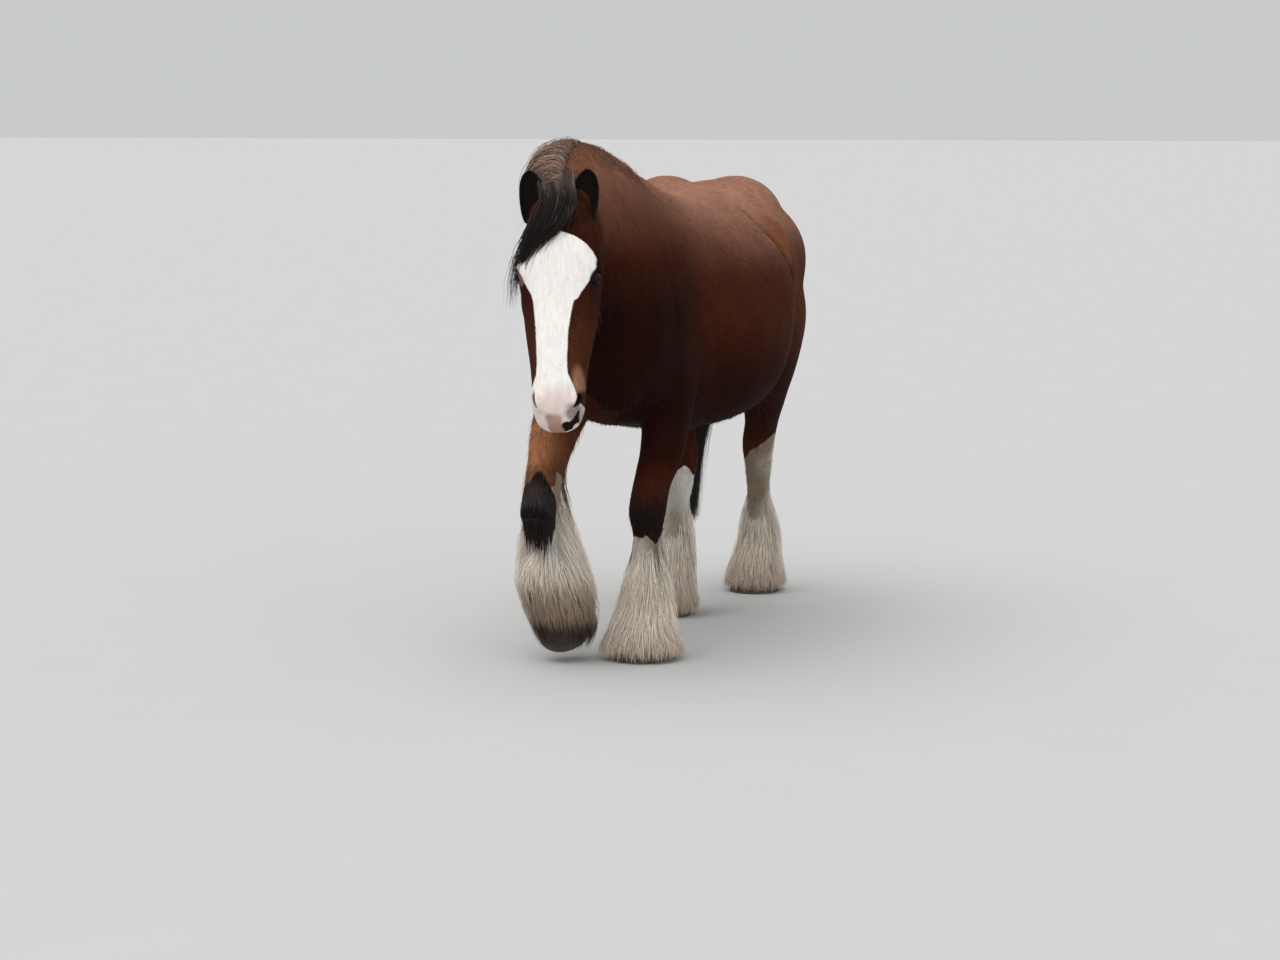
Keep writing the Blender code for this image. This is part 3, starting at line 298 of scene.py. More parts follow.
# A hoof's height over its sole, radius and shift back, and how much flatter its heel is.
HOOF_PROFILE = ((0.0, 0.0980, 0.0), (0.012, 0.0965, 0.004), (0.055, 0.0867, 0.016),
                (0.082, 0.0760, 0.026), (0.094, 0.0707, 0.028))
HOOF_HEEL = 0.86
HOOF_WIDTH = 0.97
HOOF_SIDES = 48
RING_WAVE = 900.0
HOOF_SOIL = (0.075, 0.055, 0.040, 1.0)

# Feather: at heights over the floor, how far it reaches to the side and to the back.
FEATHER = (
    (0.500, 0.040, 0.040), (0.440, 0.056, 0.062), (0.340, 0.066, 0.084), (0.295, 0.076, 0.096),
    (0.220, 0.090, 0.112), (0.165, 0.103, 0.124), (0.100, 0.124, 0.140), (0.050, 0.146, 0.152),
    (0.012, 0.148, 0.150),
)
HIND_FEATHER = (
    (0.500, 0.040, 0.040), (0.440, 0.054, 0.062), (0.340, 0.064, 0.084), (0.295, 0.071, 0.094),
    (0.220, 0.082, 0.108), (0.165, 0.092, 0.118), (0.100, 0.107, 0.130), (0.050, 0.122, 0.140),
    (0.012, 0.124, 0.138),
)
LIFTED_FEATHER = (
    (0.660, 0.068, 0.078), (0.600, 0.080, 0.090), (0.520, 0.082, 0.092), (0.460, 0.092, 0.098),
    (0.400, 0.113, 0.112), (0.340, 0.132, 0.126), (0.280, 0.142, 0.134), (0.225, 0.139, 0.130),
    (0.170, 0.131, 0.120), (0.115, 0.116, 0.104), (0.075, 0.101, 0.088), (0.045, 0.084, 0.068),
)

# The tail: side, ahead, up, half width and thickness from the dock to the tip.
TAIL = (
    Ring(-0.018, -0.900, 1.455, 0.034, 0.030, 0.030),
    Ring(-0.024, -0.968, 1.430, 0.038, 0.036, 0.036),
    Ring(-0.052, -1.035, 1.330, 0.053, 0.050, 0.050),
    Ring(-0.108, -1.075, 1.150, 0.074, 0.060, 0.058),
    Ring(-0.185, -1.085, 0.920, 0.088, 0.064, 0.062),
    Ring(-0.242, -1.075, 0.700, 0.078, 0.058, 0.058),
    Ring(-0.254, -1.052, 0.470, 0.050, 0.040, 0.040),
    Ring(-0.226, -1.020, 0.250, 0.012, 0.012, 0.012),
)

# The forelock falls past the right eye: side, down, out and spread at each step.
FORELOCK = (
    (-0.018, -0.135, -0.060, 0.052), (-0.018, -0.095, -0.030, 0.056), (-0.014, -0.052, -0.004, 0.056),
    (0.000, -0.010, 0.006, 0.052), (-0.014, 0.045, 0.016, 0.056), (-0.050, 0.100, 0.016, 0.050),
    (-0.092, 0.145, 0.002, 0.034), (-0.132, 0.190, -0.024, 0.018), (-0.147, 0.260, -0.052, 0.012),
    (-0.152, 0.350, -0.068, 0.010),
)

# The mane grows between two shares of the neck's length.
MANE_FROM, MANE_TO = 0.12, 0.92

# How many locks the strands of each kind of hair gather into.
MANE_LOCKS, FORELOCK_LOCKS, TAIL_LOCKS, FEATHER_LOCKS, KNEE_LOCKS = 150, 46, 90, 330, 60

# Tufts: height for each half width, least half width, and size of a tuft's own place in the OFBake map.
TUFT_HEIGHT = 0.5
LEAST_WIDTH = 0.00012
OFBAKE_PATCH = 0.003

# How many strands are compared with the locks at a time, and how deep a sunken point is looked for.
BATCH = 512
SUNK_REACH = 0.08

# How far from a leg's middle the search for its skin starts, which is less than to the next leg,
# and how far the skin stands from it usually and at most.
RAY_START = 0.125
USUAL_REACH, MOST_REACH = 0.062, 0.092

# The skin: squares of the head's own finer surface, and rounds of smoothing.
FINE_SQUARE = 0.0042
BODY_SMOOTHING, SHOULDER_SMOOTHING, FINE_SMOOTHING = 12, 60, 9

# How far round an eye the skin is finest, from where down on the muzzle, and how far out from its
# middle a leg's markings reach.
EYE_REGION = 0.062
MUZZLE_FROM = 0.585
LEG_REGION = 0.30

# A depth in white or dark that stands for well outside it.
OUTSIDE = -0.05

# Which way the short coat lies on body, neck and legs, and on the face in the head's own axes.
LIE_OF_BODY = (0.0, 0.86, -0.51)
LIE_OF_NECK = (0.0, 0.62, -0.78)
LIE_OF_LEGS = (0.0, 0.12, -0.99)
LIE_OF_FACE = (0, 0.25, -0.97)

# The photo's camera: turn, height, focal length and horizon in pixels of its frame, and the place
# (side, ahead) and pixel where the left forehoof meets the floor.
PHOTO_WIDTH, PHOTO_HEIGHT = 1280, 960
SENSOR_WIDTH = 36
CAMERA_TURN, CAMERA_HEIGHT = 19.5, 1.84
CAMERA_FOCAL, HORIZON_PIXEL = 2900.0, 115.0
CONTACT, CONTACT_PIXEL = (0.142, 0.633), (642.0, 670.0)

# Lights: place, aim and angle in degrees.
KEY_LIGHT = ((-1.2, -1.2, 6.5), (0.0, -0.2, 0.9), 70)
FILL_LIGHT = ((3.5, -8.0, 3.5), (0.0, 0.0, 1.0), 90)
SKY_COLOUR = (0.96, 0.98, 1.0, 1.0)


def spot(side, ahead, up):
    """A place on the horse in Blender's axes."""
    return Vector((side, -ahead, up))


def blend_rows(rows, steps):
    """Catmull-Rom rows between the given ones, so that a few sections make a smooth body."""
    made = []
    last = len(rows) - 1
    for index in range(last):
        before = rows[max(index - 1, 0)]
        start, end = rows[index], rows[index + 1]
        after = rows[min(index + 2, last)]
        for step in range(steps):
            t = step / steps
            made.append(tuple(
                0.5 * (2 * b + (c - a) * t + (2 * a - 5 * b + 4 * c - d) * t * t
                       + (3 * b - a - 3 * c + d) * t * t * t)
                for a, b, c, d in zip(before, start, end, after)
            ))
    made.append(tuple(rows[last]))
    return made


def rounded(count, power_high, power_low):
    """Unit outline points (across, up), squarer than an ellipse where the power is over 2."""
    points = []
    for index in range(count):
        turn = 2 * math.pi * (index + 0.5) / count
        across, up = math.cos(turn), math.sin(turn)
        share = 2 / (power_high if up > 0 else power_low)
        points.append((math.copysign(abs(across) ** share, across), math.copysign(abs(up) ** share, up)))
    return points


def section(high, low, lateral, half_width, widest, high_power, low_power):
    """A closed ring of points between a high point and a low one."""
    centre = low.lerp(high, widest)
    return [
        centre + lateral * (half_width * across) + ((high - centre) if up > 0 else (centre - low)) * up
        for across, up in rounded(SECTION_SIDES, high_power, low_power)
    ]


def bridged(bm, rings):
    """Bridges closed rings; returns their edges in a fixed order, so that runs agree, and the new faces."""
    loops = []
    for ring in rings:
        made = bmesh.ops.create_circle(bm, segments=len(ring), radius=1.0)["verts"]
        for vert, point in zip(made, ring):
            vert.co = point
        loops.append(list(dict.fromkeys(edge for vert in made for edge in vert.link_edges)))
    faces = []
    for first, second in zip(loops, loops[1:]):
        faces += bmesh.ops.bridge_loops(bm, edges=first + second)["faces"]
    return loops, faces


def loft(bm, rings):
    """Bridges closed rings in order and closes both ends."""
    loops, faces = bridged(bm, rings)
    for end in (loops[0], loops[-1]):
        faces += bmesh.ops.edgeloop_fill(bm, edges=end)["faces"]
    bmesh.ops.recalc_face_normals(bm, faces=faces)


def body_rings(slices):
    """Rings of the trunk or the neck, which bend only in the upright plane."""
    rings = []
    for row in blend_rows(slices, BODY_STEPS):
        piece = Slice(*row)
        high = spot(piece.side, piece.high_ahead, piece.high_up)
        low = spot(piece.side, piece.low_ahead, piece.low_up)
        rings.append(section(high, low, Vector((1, 0, 0)), piece.half_width, piece.widest,
                             piece.high_power, piece.low_power))
    return rings


def leg_rings(rows):
    """Rings square to the leg's own line, wider behind than in front where the rows say so."""
    stations = [Ring(*row) for row in blend_rows(rows, LEG_STEPS)]
    centres = [spot(s.side, s.ahead, s.up) for s in stations]
    rings = []
    for index, station in enumerate(stations):
        along = centres[min(index + 1, len(centres) - 1)] - centres[max(index - 1, 0)]
        along.normalize()
        lateral = (Vector((1, 0, 0)) - along * along.x).normalized()
        front = along.cross(lateral).normalized()
        if front.y > 0:
            front.negate()
        rings.append([
            centres[index] + lateral * (station.half_width * across)
            + front * ((station.front if up > 0 else station.back) * up)
            for across, up in rounded(LEG_SIDES, LEG_POWER, LEG_POWER)
        ])
    return rings


def head_frame():
    """Matrix from the head's own axes (left, in from the face, up along it) to the horse's."""
    tip_back = Matrix.Rotation(-FACE_FROM_PLUMB, 4, "X")
    roll = Matrix.Rotation(-HEAD_ROLL, 4, "Y")
    turn = Matrix.Rotation(HEAD_TURN, 4, "Z")
    return Matrix.Translation(spot(*POLL)) @ turn @ roll @ tip_back


HEAD_FRAME = head_frame()


def head_place(side, down, out):
    """A place on the head: to its left, down the face from the poll, out from the face."""
    return HEAD_FRAME @ Vector((side + JAW_SWING * min(out, 0.0), -out, -down))


def head_path(sign, path):
    """A path on the head, on the horse's left for 1 and its right for -1."""
    return [head_place(sign * side, down, out) for side, down, out in path]


def head_rings():
    left = (HEAD_FRAME.to_3x3() @ Vector((1, 0, 0))).normalized()
    return [section(head_place(0, down, face), head_place(0, down, jaw), left, half_width, widest, power, 2.0)
            for down, face, jaw, half_width, widest, power in blend_rows(HEAD, BODY_STEPS)]


def lower_leg_rows(leg):
    """Rows from above the knee or hock down to the coronet."""
    places = [Vector(place) for place in (leg.start, leg.joint, leg.fetlock, leg.coronet)]
    rows = []
    for first, last, share, width, front, back in (HIND_SHAPE if leg.hind else FORE_SHAPE) + FOOT_SHAPE:
        rows.append(Ring(*places[first].lerp(places[last], share), width, front, back))
    return rows


def eye_seat(sign):
    """Where an eyeball's middle lies in the frame's own plain head."""
    return HEAD_FRAME @ Vector((sign * EYE_SIDE, -EYE_OUT, -EYE_DOWN))


def seated(place, outwards, along):
    """Matrix from the axes (along, across, outwards) of a part of the head to its place there."""
    outwards = Vector(outwards).normalized()
    along = Vector(along)
    along = (along - outwards * along.dot(outwards)).normalized()
    turn = Matrix((along, outwards.cross(along), outwards)).transposed().to_4x4()
    return HEAD_FRAME @ Matrix.Translation(place) @ turn


def eye_matrix(sign):
    """From an eye's own axes (along the lids, down, outwards) to its place on the wider brow."""
    return seated(*(LEFT_EYE if sign > 0 else RIGHT_EYE), EYE_ALONG)


def nostril_matrix(sign):
    """From a nostril's own axes (its length, its width, outwards) to its place on the head."""
    return seated(*(LEFT_NOSTRIL if sign > 0 else RIGHT_NOSTRIL), (-sign * 0.30, -0.18, -0.94))


def nostril_spread(sign, points):
    """Distance from the middle of a nostril's comma, 1 on its rim, or more where it can't be."""
    own = in_axes(nostril_matrix(sign), points)
    bend = own[:, 1] + sign * 7.0 * own[:, 0] ** 2
    width = np.maximum(0.0112 - 0.16 * own[:, 0], 0.004)
    spread = np.sqrt((own[:, 0] / NOSTRIL_HALF_LENGTH) ** 2 + (bend / width) ** 2)
    return np.where(np.abs(own[:, 2]) < 0.045, spread, FAR_OFF)


def shift_of_frame():
    """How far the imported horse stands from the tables' own origin."""
    low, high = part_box("eye_left")
    return (low + high) / 2 - eye_seat(1)


SHIFT = shift_of_frame()


def linked(name, mesh):
    """A new object of the scene."""
    made = bpy.data.objects.new(name, mesh)
    bpy.context.scene.collection.objects.link(made)
    return made


def meshed(name, bm):
    mesh = bpy.data.meshes.new(name)
    bm.to_mesh(mesh)
    bm.free()
    mesh.shade_smooth()
    return linked(name, mesh)


def lofted(name, rings):
    bm = bmesh.new()
    loft(bm, rings)
    return meshed(name, bm)


def ball(name, matrix, radii, segments=28, rings=18):
    bm = bmesh.new()
    bmesh.ops.create_uvsphere(bm, u_segments=segments, v_segments=rings, radius=1.0)
    bmesh.ops.transform(bm, matrix=matrix @ Matrix.Diagonal((*radii, 1.0)), verts=bm.verts)
    return meshed(name, bm)


def applied(obj):
    """The object with its modifiers made real."""
    graph = bpy.context.evaluated_depsgraph_get()
    mesh = bpy.data.meshes.new_from_object(obj.evaluated_get(graph))
    obj.modifiers.clear()
    old = obj.data
    obj.data = mesh
    bpy.data.meshes.remove(old)
    return obj


def discard(objects):
    for obj in objects:
        mesh = obj.data
        bpy.data.objects.remove(obj)
        bpy.data.meshes.remove(mesh)


def melted(name, pieces, voxel, smoothing):
    """Joins overlapping pieces into one smooth surface of even squares."""
    bm = bmesh.new()
    for piece in pieces:
        bm.from_mesh(piece.data)
    discard(pieces)
    body = meshed(name, bm)
    remesh = body.modifiers.new("Remesh", "REMESH")
    remesh.mode = "VOXEL"
    remesh.voxel_size = voxel
    smooth = body.modifiers.new("Smooth", "SMOOTH")
    smooth.factor = 0.5
    smooth.iterations = smoothing
    return applied(body)


@contextmanager
def edited(mesh):
    """A mesh opened as a bmesh, and written back after its changes."""
    bm = bmesh.new()
    bm.from_mesh(mesh)
    yield bm
    bm.to_mesh(mesh)
    bm.free()


def tree_of(mesh):
    """A mesh's surface, to be searched for near places and rays."""
    bm = bmesh.new()
    bm.from_mesh(mesh)
    tree = BVHTree.FromBMesh(bm)
    bm.free()
    return tree


def values_of(items, name, width=3):
    """One row of values for each vertex or face of a mesh."""
    flat = np.zeros(len(items) * width, np.float32)
    items.foreach_get(name, flat)
    return flat.reshape(-1, width).astype(float)


def points_of(mesh):
    return values_of(mesh.vertices, "co")


def put_points(mesh, points):
    mesh.vertices.foreach_set("co", points.astype(np.float32).ravel())
    mesh.update()


def put_values(mesh, name, kind, values):
    """Stores one value, or one colour, at each vertex."""
    layer = mesh.attributes.new(name, kind, "POINT")
    field = {"FLOAT_COLOR": "color", "FLOAT_VECTOR": "vector", "FLOAT": "value"}[kind]
    layer.data.foreach_set(field, values.astype(np.float32).ravel())


def put_tones(mesh, name, tones):
    """Stores one opaque colour at each vertex."""
    put_values(mesh, name, "FLOAT_COLOR", np.concatenate([tones, np.ones((len(tones), 1))], axis=1))


def in_axes(matrix, points):
    """Points in another frame's own axes."""
    inverse = np.array(matrix.inverted())
    return points @ inverse[:3, :3].T + inverse[:3, 3]


def eased(low, high, values):
    """A smooth step from 0 at low to 1 at high."""
    share = np.clip((values - low) / (high - low), 0, 1)
    return share * share * (3 - 2 * share)


def ripple(points, scale, seed):
    """Soft made noise about 0 at each point, from a few crossed waves."""
    chance = np.random.default_rng(seed)
    total = np.zeros(len(points))
    for octave in range(3):
        for _ in range(5):
            direction = chance.normal(size=3)
            direction *= scale * 2 ** octave / np.linalg.norm(direction)
            total += np.sin(points @ direction + chance.uniform(0, 2 * math.pi)) / 2 ** octave
    return total / 4.5


class Value:
    """A number output of a material's node, with arithmetic that adds Math nodes."""

    def __init__(self, graph, socket):
        self.graph = graph
        self.socket = socket

    def _math(self, operation, first, second):
        return self.graph.node("ShaderNodeMath", {"operation": operation}, {0: first, 1: second})

    def __add__(self, other):
        return self._math("ADD", self, other)

    __radd__ = __add__

    def __sub__(self, other):
        return self._math("SUBTRACT", self, other)

    def __rsub__(self, other):
        return self._math("SUBTRACT", other, self)

    def __mul__(self, other):
        return self._math("MULTIPLY", self, other)

    __rmul__ = __mul__


class Graph:
    """The nodes of one new material."""

    def __init__(self, name, roughness, specular):
        self.material = bpy.data.materials.new(name)
        self.material.use_nodes = True
        self.nodes = self.material.node_tree.nodes
        self.links = self.material.node_tree.links
        self.shader = self.nodes["Principled BSDF"]
        self.set("Roughness", roughness)
        self.set("Specular IOR Level", specular)

    def set(self, socket, value):
        self.shader.inputs[socket].default_value = value

    def node(self, kind, settings=None, inputs=None, output=0):
        """Adds a node, sets it up, fills its sockets and returns one output."""
        made = self.nodes.new(kind)
        for name, value in (settings or {}).items():
            setattr(made, name, value)
        for name, value in (inputs or {}).items():
            self.plug(made.inputs[name], value)
        return Value(self, made.outputs[output])

    def plug(self, socket, value):
        if isinstance(value, Value):
            self.links.new(value.socket, socket)
        else:
            socket.default_value = value

    def attribute(self, name, colour=False):
        return self.node("ShaderNodeAttribute", {"attribute_name": name}, output=0 if colour else 2)

    def noise(self, scale, detail=3.0, vector=None, stretch=None):
        """Noise on the piece's own coordinates, or on stretched ones."""
        place = vector or self.node("ShaderNodeTexCoord", output=3)
        if stretch:
            place = self.node("ShaderNodeMapping", {}, {"Vector": place, "Scale": stretch})
        return self.node("ShaderNodeTexNoise", {}, {"Vector": place, "Scale": scale, "Detail": detail})

    def mix(self, factor, first, second):
        return self.node("ShaderNodeMix", {"data_type": "RGBA"}, {0: factor, 6: first, 7: second}, output=2)

    def scaled(self, colour, factor):
        """A colour made lighter or darker."""
        return self.node("ShaderNodeVectorMath", {"operation": "SCALE"}, {0: colour, "Scale": factor})

    def ranged(self, value, low, high, bottom, top, way="LINEAR"):
        """A value from bottom to top while another goes from low to high."""
        return self.node("ShaderNodeMapRange", {"interpolation_type": way},
                         {0: value, 1: low, 2: high, 3: bottom, 4: top})

    def step(self, value, low, high):
        """0 under low and 1 over high, smooth between."""
        return self.ranged(value, low, high, 0.0, 1.0, "SMOOTHSTEP")

    def bump(self, height, strength, distance, under=None):
        inputs = {"Height": height, "Strength": strength, "Distance": distance}
        if under is not None:
            inputs["Normal"] = under
        return self.node("ShaderNodeBump", {}, inputs)

    def finish(self, **sockets):
        """Links what varies to the shader, by the sockets' names with _ for a space."""
        for name, value in sockets.items():
            self.plug(self.shader.inputs[name.replace("_", " ")], value)
        return self.material


def solid(colour, share=1.0):
    """A colour made lighter or darker, with its alpha."""
    return (*(channel * share for channel in colour), 1.0)


def skin_material(looks):
    """Short flat coat: the bay tone of each place with its painted light and shade, and dark points and white
    markings over it.
    """
    graph = Graph("short_coat", 0.55, 0.03)
    place = graph.attribute("lie", colour=True)
    hair = graph.noise(42.0, 4.0, place)
    locks = graph.noise(9.0, 3.0, place)
    fine = graph.noise(110.0, 3.0, place)
    shade = graph.ranged(hair * 0.5 + locks * 0.5, 0.35, 0.65, 0.70, 1.30)
    mottle = graph.ranged(graph.noise(9.0), 0.3, 0.7, 0.88, 1.12)
    bay = graph.scaled(graph.attribute("tone", colour=True), shade * mottle)
    ragged = (graph.noise(60.0, 4.0, place) - 0.5) * 0.020
    dark = graph.step(graph.attribute("dark") + ragged, -0.004, 0.004)
    white = graph.step(graph.attribute("white") + ragged * 0.45, -0.0022, 0.0022)
    pale = graph.scaled(graph.attribute("pale", colour=True), shade * 0.35 + 0.65)
    marked = graph.mix(white, graph.mix(dark, bay, solid(looks.black)), pale)
    colour = graph.mix(graph.attribute("bare"), marked, graph.attribute("naked", colour=True))
    normal = graph.bump(hair, 0.30, 0.0016, graph.bump(fine, 0.25, 0.0008, graph.bump(locks, 0.30, 0.0040)))
    return graph.finish(Base_Color=colour, Normal=normal, Roughness=graph.ranged(hair, 0.3, 0.7, 0.66, 0.84))


def hair_material(name, roughness, specular, silk=0.0):
    """Locks and tufts: the tone stored on each, with fine streaks along them."""
    graph = Graph(name, roughness, specular)
    graph.set("Sheen Weight", silk)
    graph.set("Sheen Roughness", 0.5)
    shade = graph.ranged(graph.noise(260.0, 2.0), 0.3, 0.7, 0.82, 1.18)
    return graph.finish(Base_Color=graph.scaled(graph.attribute("tone", colour=True), shade))


def horn_material(looks):
    """Hoof horn: growth rings round it, fine grain down it, and soil at the sole."""
    graph = Graph("hoof_horn", 0.55, 0.4)
    height = graph.attribute("height")
    grain = graph.noise(30.0, 4.0, stretch=(8.0, 8.0, 0.8))
    wave = graph.node("ShaderNodeMath", {"operation": "SINE"}, {0: height * RING_WAVE + grain * 5.0})
    tone = graph.mix(grain, solid(looks.horn, 0.55), solid(looks.horn, 1.5))
    soil = graph.step(height + (graph.noise(40.0) - 0.5) * 0.03, 0.028, 0.004)
    colour = graph.mix(soil * 0.7, tone, HOOF_SOIL)
    return graph.finish(Base_Color=colour, Normal=graph.bump(wave * 0.5 + grain, 0.35, 0.0012))


def eye_material(looks):
    """A dark wet eye: a long pupil in a brown iris, and the dark rim round it."""
    graph = Graph("eye", 0.10, 0.12)
    graph.set("Coat Weight", 0.04)
    graph.set("Coat Roughness", 0.04)
    reach = graph.attribute("reach")
    iris = graph.mix(graph.noise(300.0), solid(looks.iris, 0.2), solid(looks.iris, 0.6))
    seen = graph.mix(graph.step(graph.attribute("pupil"), 0.9, 1.05), PUPIL_COLOUR, iris)
    rim = graph.mix(graph.step(reach, 0.66, 0.74), seen, IRIS_EDGE_COLOUR)
    return graph.finish(Base_Color=graph.mix(graph.step(reach, 0.86, 0.93), rim, EYE_WHITE_COLOUR))


def floor_material(looks):
    graph = Graph("studio_floor", 0.85, 0.2)
    colour = graph.mix(graph.noise(3.0, 4.0), solid(looks.floor), solid(looks.floor, 0.97))
    return graph.finish(Base_Color=colour)


# The blaze: distance down from the poll, its edge on the horse's right, and on its left.
BLAZE = (
    (0.104, -0.022, 0.006), (0.118, -0.052, 0.046), (0.140, -0.070, 0.080), (0.163, -0.092, 0.101),
    (0.186, -0.150, 0.115), (0.221, -0.140, 0.113), (0.252, -0.116, 0.099), (0.303, -0.088, 0.067),
    (0.318, -0.084, 0.060), (0.326, -0.082, 0.047), (0.369, -0.077, 0.038), (0.429, -0.072, 0.030),
    (0.520, -0.068, 0.028), (0.558, -0.070, 0.030), (0.587, -0.082, 0.044), (0.615, -0.110, 0.055),
    (0.646, -0.130, 0.064), (0.672, -0.130, 0.100), (0.740, -0.130, 0.110),
)

# The black patch on the upper lip's left, in (side, down, 0) on the head.
LIP_PATCH = ((0.024, 0.716, 0.0), (0.036, 0.712, 0.0), (0.052, 0.698, 0.0), (0.064, 0.676, 0.0))

# The dark patch over the lifted knee: its middle line, and its half width at heights on it.
KNEE_PATCH = ((-0.184, 0.752, 0.650), (-0.178, 0.765, 0.610), (-0.166, 0.785, 0.560), (-0.172, 0.785, 0.505),
              (-0.178, 0.738, 0.450), (-0.172, 0.700, 0.380))
KNEE_REACH = ((0.380, 0.008), (0.450, 0.034), (0.490, 0.058), (0.560, 0.064), (0.610, 0.044), (0.650, 0.020))

# Level over the floor to which the white of a leg comes, and how much it falls towards the inside.
WHITE_TO = {"fore_left": (0.425, 0.0), "fore_right": (0.600, 0.03),
            "hind_left": (0.560, -0.06), "hind_right": (0.500, 0.02)}

# How much grey soil and painted shade dull the white of each leg, more at its front and higher up the white.
LEG_SOIL_AND_SHADE = {"fore_left": 0.80, "fore_right": 0.45, "hind_left": 1.15, "hind_right": 0.60}


def mirrored(path):
    """A path on the left, on the right."""
    return tuple((-side, ahead, up) for side, ahead, up in path)


# The crease from the point of the hip down into the flank, the elbow's and the throat's grooves.
FLANK_LINE = ((0.199, -0.274, 1.512), (0.239, -0.280, 1.473), (0.286, -0.301, 1.423), (0.329, -0.345, 1.357),
              (0.351, -0.381, 1.306), (0.362, -0.385, 1.230))
ELBOW_LINE = ((0.230, 0.300, 0.960), (0.255, 0.330, 1.060), (0.265, 0.330, 1.180))
THROAT_LINE = ((0.130, 0.960, 1.360), (0.170, 0.840, 1.300), (0.190, 0.720, 1.220))

# Folds and hollows in the skin: places on the way, half width, and depth, which is negative for a
# ridge. Flank fold, haunch line, croup ridge, flank crease, hollow beside the crest, crease under
# the dock, shoulder's rear and front edges, two lines of the breast, elbow, throat, gaskin, middle
# of the breast, then the right side's throat, flank and elbow.
FOLDS = (
    (((0.300, -0.300, 1.330), (0.350, -0.420, 1.160), (0.300, -0.470, 0.960), (0.225, -0.470, 0.840)),
     0.050, 0.014),
    (((0.250, -0.480, 1.460), (0.330, -0.440, 1.330), (0.355, -0.430, 1.200)), 0.035, 0.008),
    (((0.000, -0.420, 1.630), (-0.010, -0.640, 1.640), (-0.020, -0.860, 1.550)), 0.060, -0.012),
    (FLANK_LINE, 0.020, 0.013),
    (((0.036, 0.780, 1.715), (0.052, 0.690, 1.702), (0.064, 0.607, 1.678), (0.082, 0.500, 1.635)),
     0.070, 0.013),
    (((0.000, -0.950, 1.380), (0.000, -0.960, 1.220), (0.000, -0.935, 1.070), (0.000, -0.860, 0.985),
      (0.000, -0.760, 0.930)), 0.036, 0.014),
    (((0.209, 0.334, 1.436), (0.255, 0.330, 1.318), (0.286, 0.327, 1.182), (0.295, 0.298, 1.044),
      (0.278, 0.253, 0.920)), 0.030, 0.009),
    (((0.194, 0.651, 1.448), (0.223, 0.604, 1.347), (0.245, 0.586, 1.231), (0.245, 0.596, 1.098)),
     0.028, 0.007),
    (((0.050, 0.800, 1.120), (0.060, 0.790, 1.000), (0.044, 0.772, 0.908)), 0.022, 0.008),
    (((0.181, 0.764, 1.142), (0.176, 0.748, 1.009), (0.153, 0.723, 0.907)), 0.022, 0.007),
    (ELBOW_LINE, 0.040, 0.009),
    (THROAT_LINE, 0.035, 0.008),
    (((0.170, -0.780, 1.180), (0.190, -0.800, 1.000), (0.150, -0.820, 0.860)), 0.035, 0.009),
    (((0.000, 0.800, 1.200), (0.000, 0.810, 1.090), (0.000, 0.760, 0.960)), 0.030, 0.010),
    (mirrored(THROAT_LINE), 0.035, 0.008),
    (((-0.300, -0.300, 1.330), (-0.350, -0.400, 1.160), (-0.320, -0.400, 0.960)), 0.050, 0.014),
    (mirrored(ELBOW_LINE), 0.040, 0.009),
)

# The same on the head, in (side, down, out) of each side: over the eye, under it, the crest's
# hollow, the cheek's edge, the wing of the nostril, the muzzle's side and the chin groove.
HEAD_FOLDS = (
    (((0.080, 0.165, 0.000), (0.110, 0.190, -0.030)), 0.022, 0.006),
    (((0.098, 0.225, -0.018), (0.113, 0.238, -0.045), (0.116, 0.262, -0.070)), 0.006, -0.0015),
    (((0.104, 0.290, -0.040), (0.100, 0.340, -0.050), (0.090, 0.420, -0.052)), 0.018, 0.005),
    (((0.110, 0.300, -0.110), (0.098, 0.380, -0.120), (0.090, 0.430, -0.125)), 0.022, 0.005),
    (((0.085, 0.420, -0.235), (0.098, 0.350, -0.215), (0.105, 0.250, -0.150)), 0.016, 0.004),
    (((0.085, 0.560, -0.060), (0.088, 0.600, -0.080), (0.080, 0.645, -0.085)), 0.014, 0.005),
    (((0.046, 0.560, 0.000), (0.055, 0.590, -0.012)), 0.014, 0.004),
    (((0.060, 0.620, -0.150), (0.000, 0.615, -0.170)), 0.014, 0.006),
)

# Where the lips meet, from the front round to the corner, in (side, down, out).
MOUTH = ((0.000, 0.722, -0.105), (0.030, 0.716, -0.110), (0.052, 0.690, -0.113), (0.064, 0.655, -0.112),
         (0.072, 0.615, -0.108))
MOUTH_HALF_WIDTH, MOUTH_DEPTH = 0.0042, 0.0085


def path_distance(points, path):
    """Distance from each point to a broken line, and how far along it the nearest place is."""
    best = np.full(len(points), np.inf)
    share = np.zeros(len(points))
    count = len(path) - 1
    for index, (start, end) in enumerate(zip(path, path[1:])):
        start, end = np.array(start, float), np.array(end, float)
        line = end - start
        along = np.clip((points - start) @ line / (line @ line), 0, 1)
        away = np.linalg.norm(points - start - along[:, None] * line, axis=1)
        nearer = away < best
        best[nearer] = away[nearer]
        share[nearer] = (index + along[nearer]) / count
    return best, share


def from_path(points, path):
    """Distance from each point to a path on the body."""
    return path_distance(points, [spot(*step) for step in path])[0]


def folded(points, normals, path, half_width, depth):
    """Sinks a soft groove along a path, fading at both its ends."""
    away, share = path_distance(points, path)
    fade = np.sin(math.pi * np.clip(share, 0.02, 0.98)) ** 0.5
    sink = depth * fade * np.exp(-(away / half_width) ** 2 * 2)
    return points - normals * sink[:, None]


def head_share(points):
    """1 on the head and 0 on the neck, through the throat."""
    place, (ahead, up) = THROAT_CUT
    normal = np.array((0.0, -ahead, up))
    beyond = (points - np.array(spot(*place))) @ (normal / np.linalg.norm(normal))
    out = on_head(points)[:, 2]
    return eased(-0.02, 0.05, beyond) * eased(-0.42, -0.35, out)


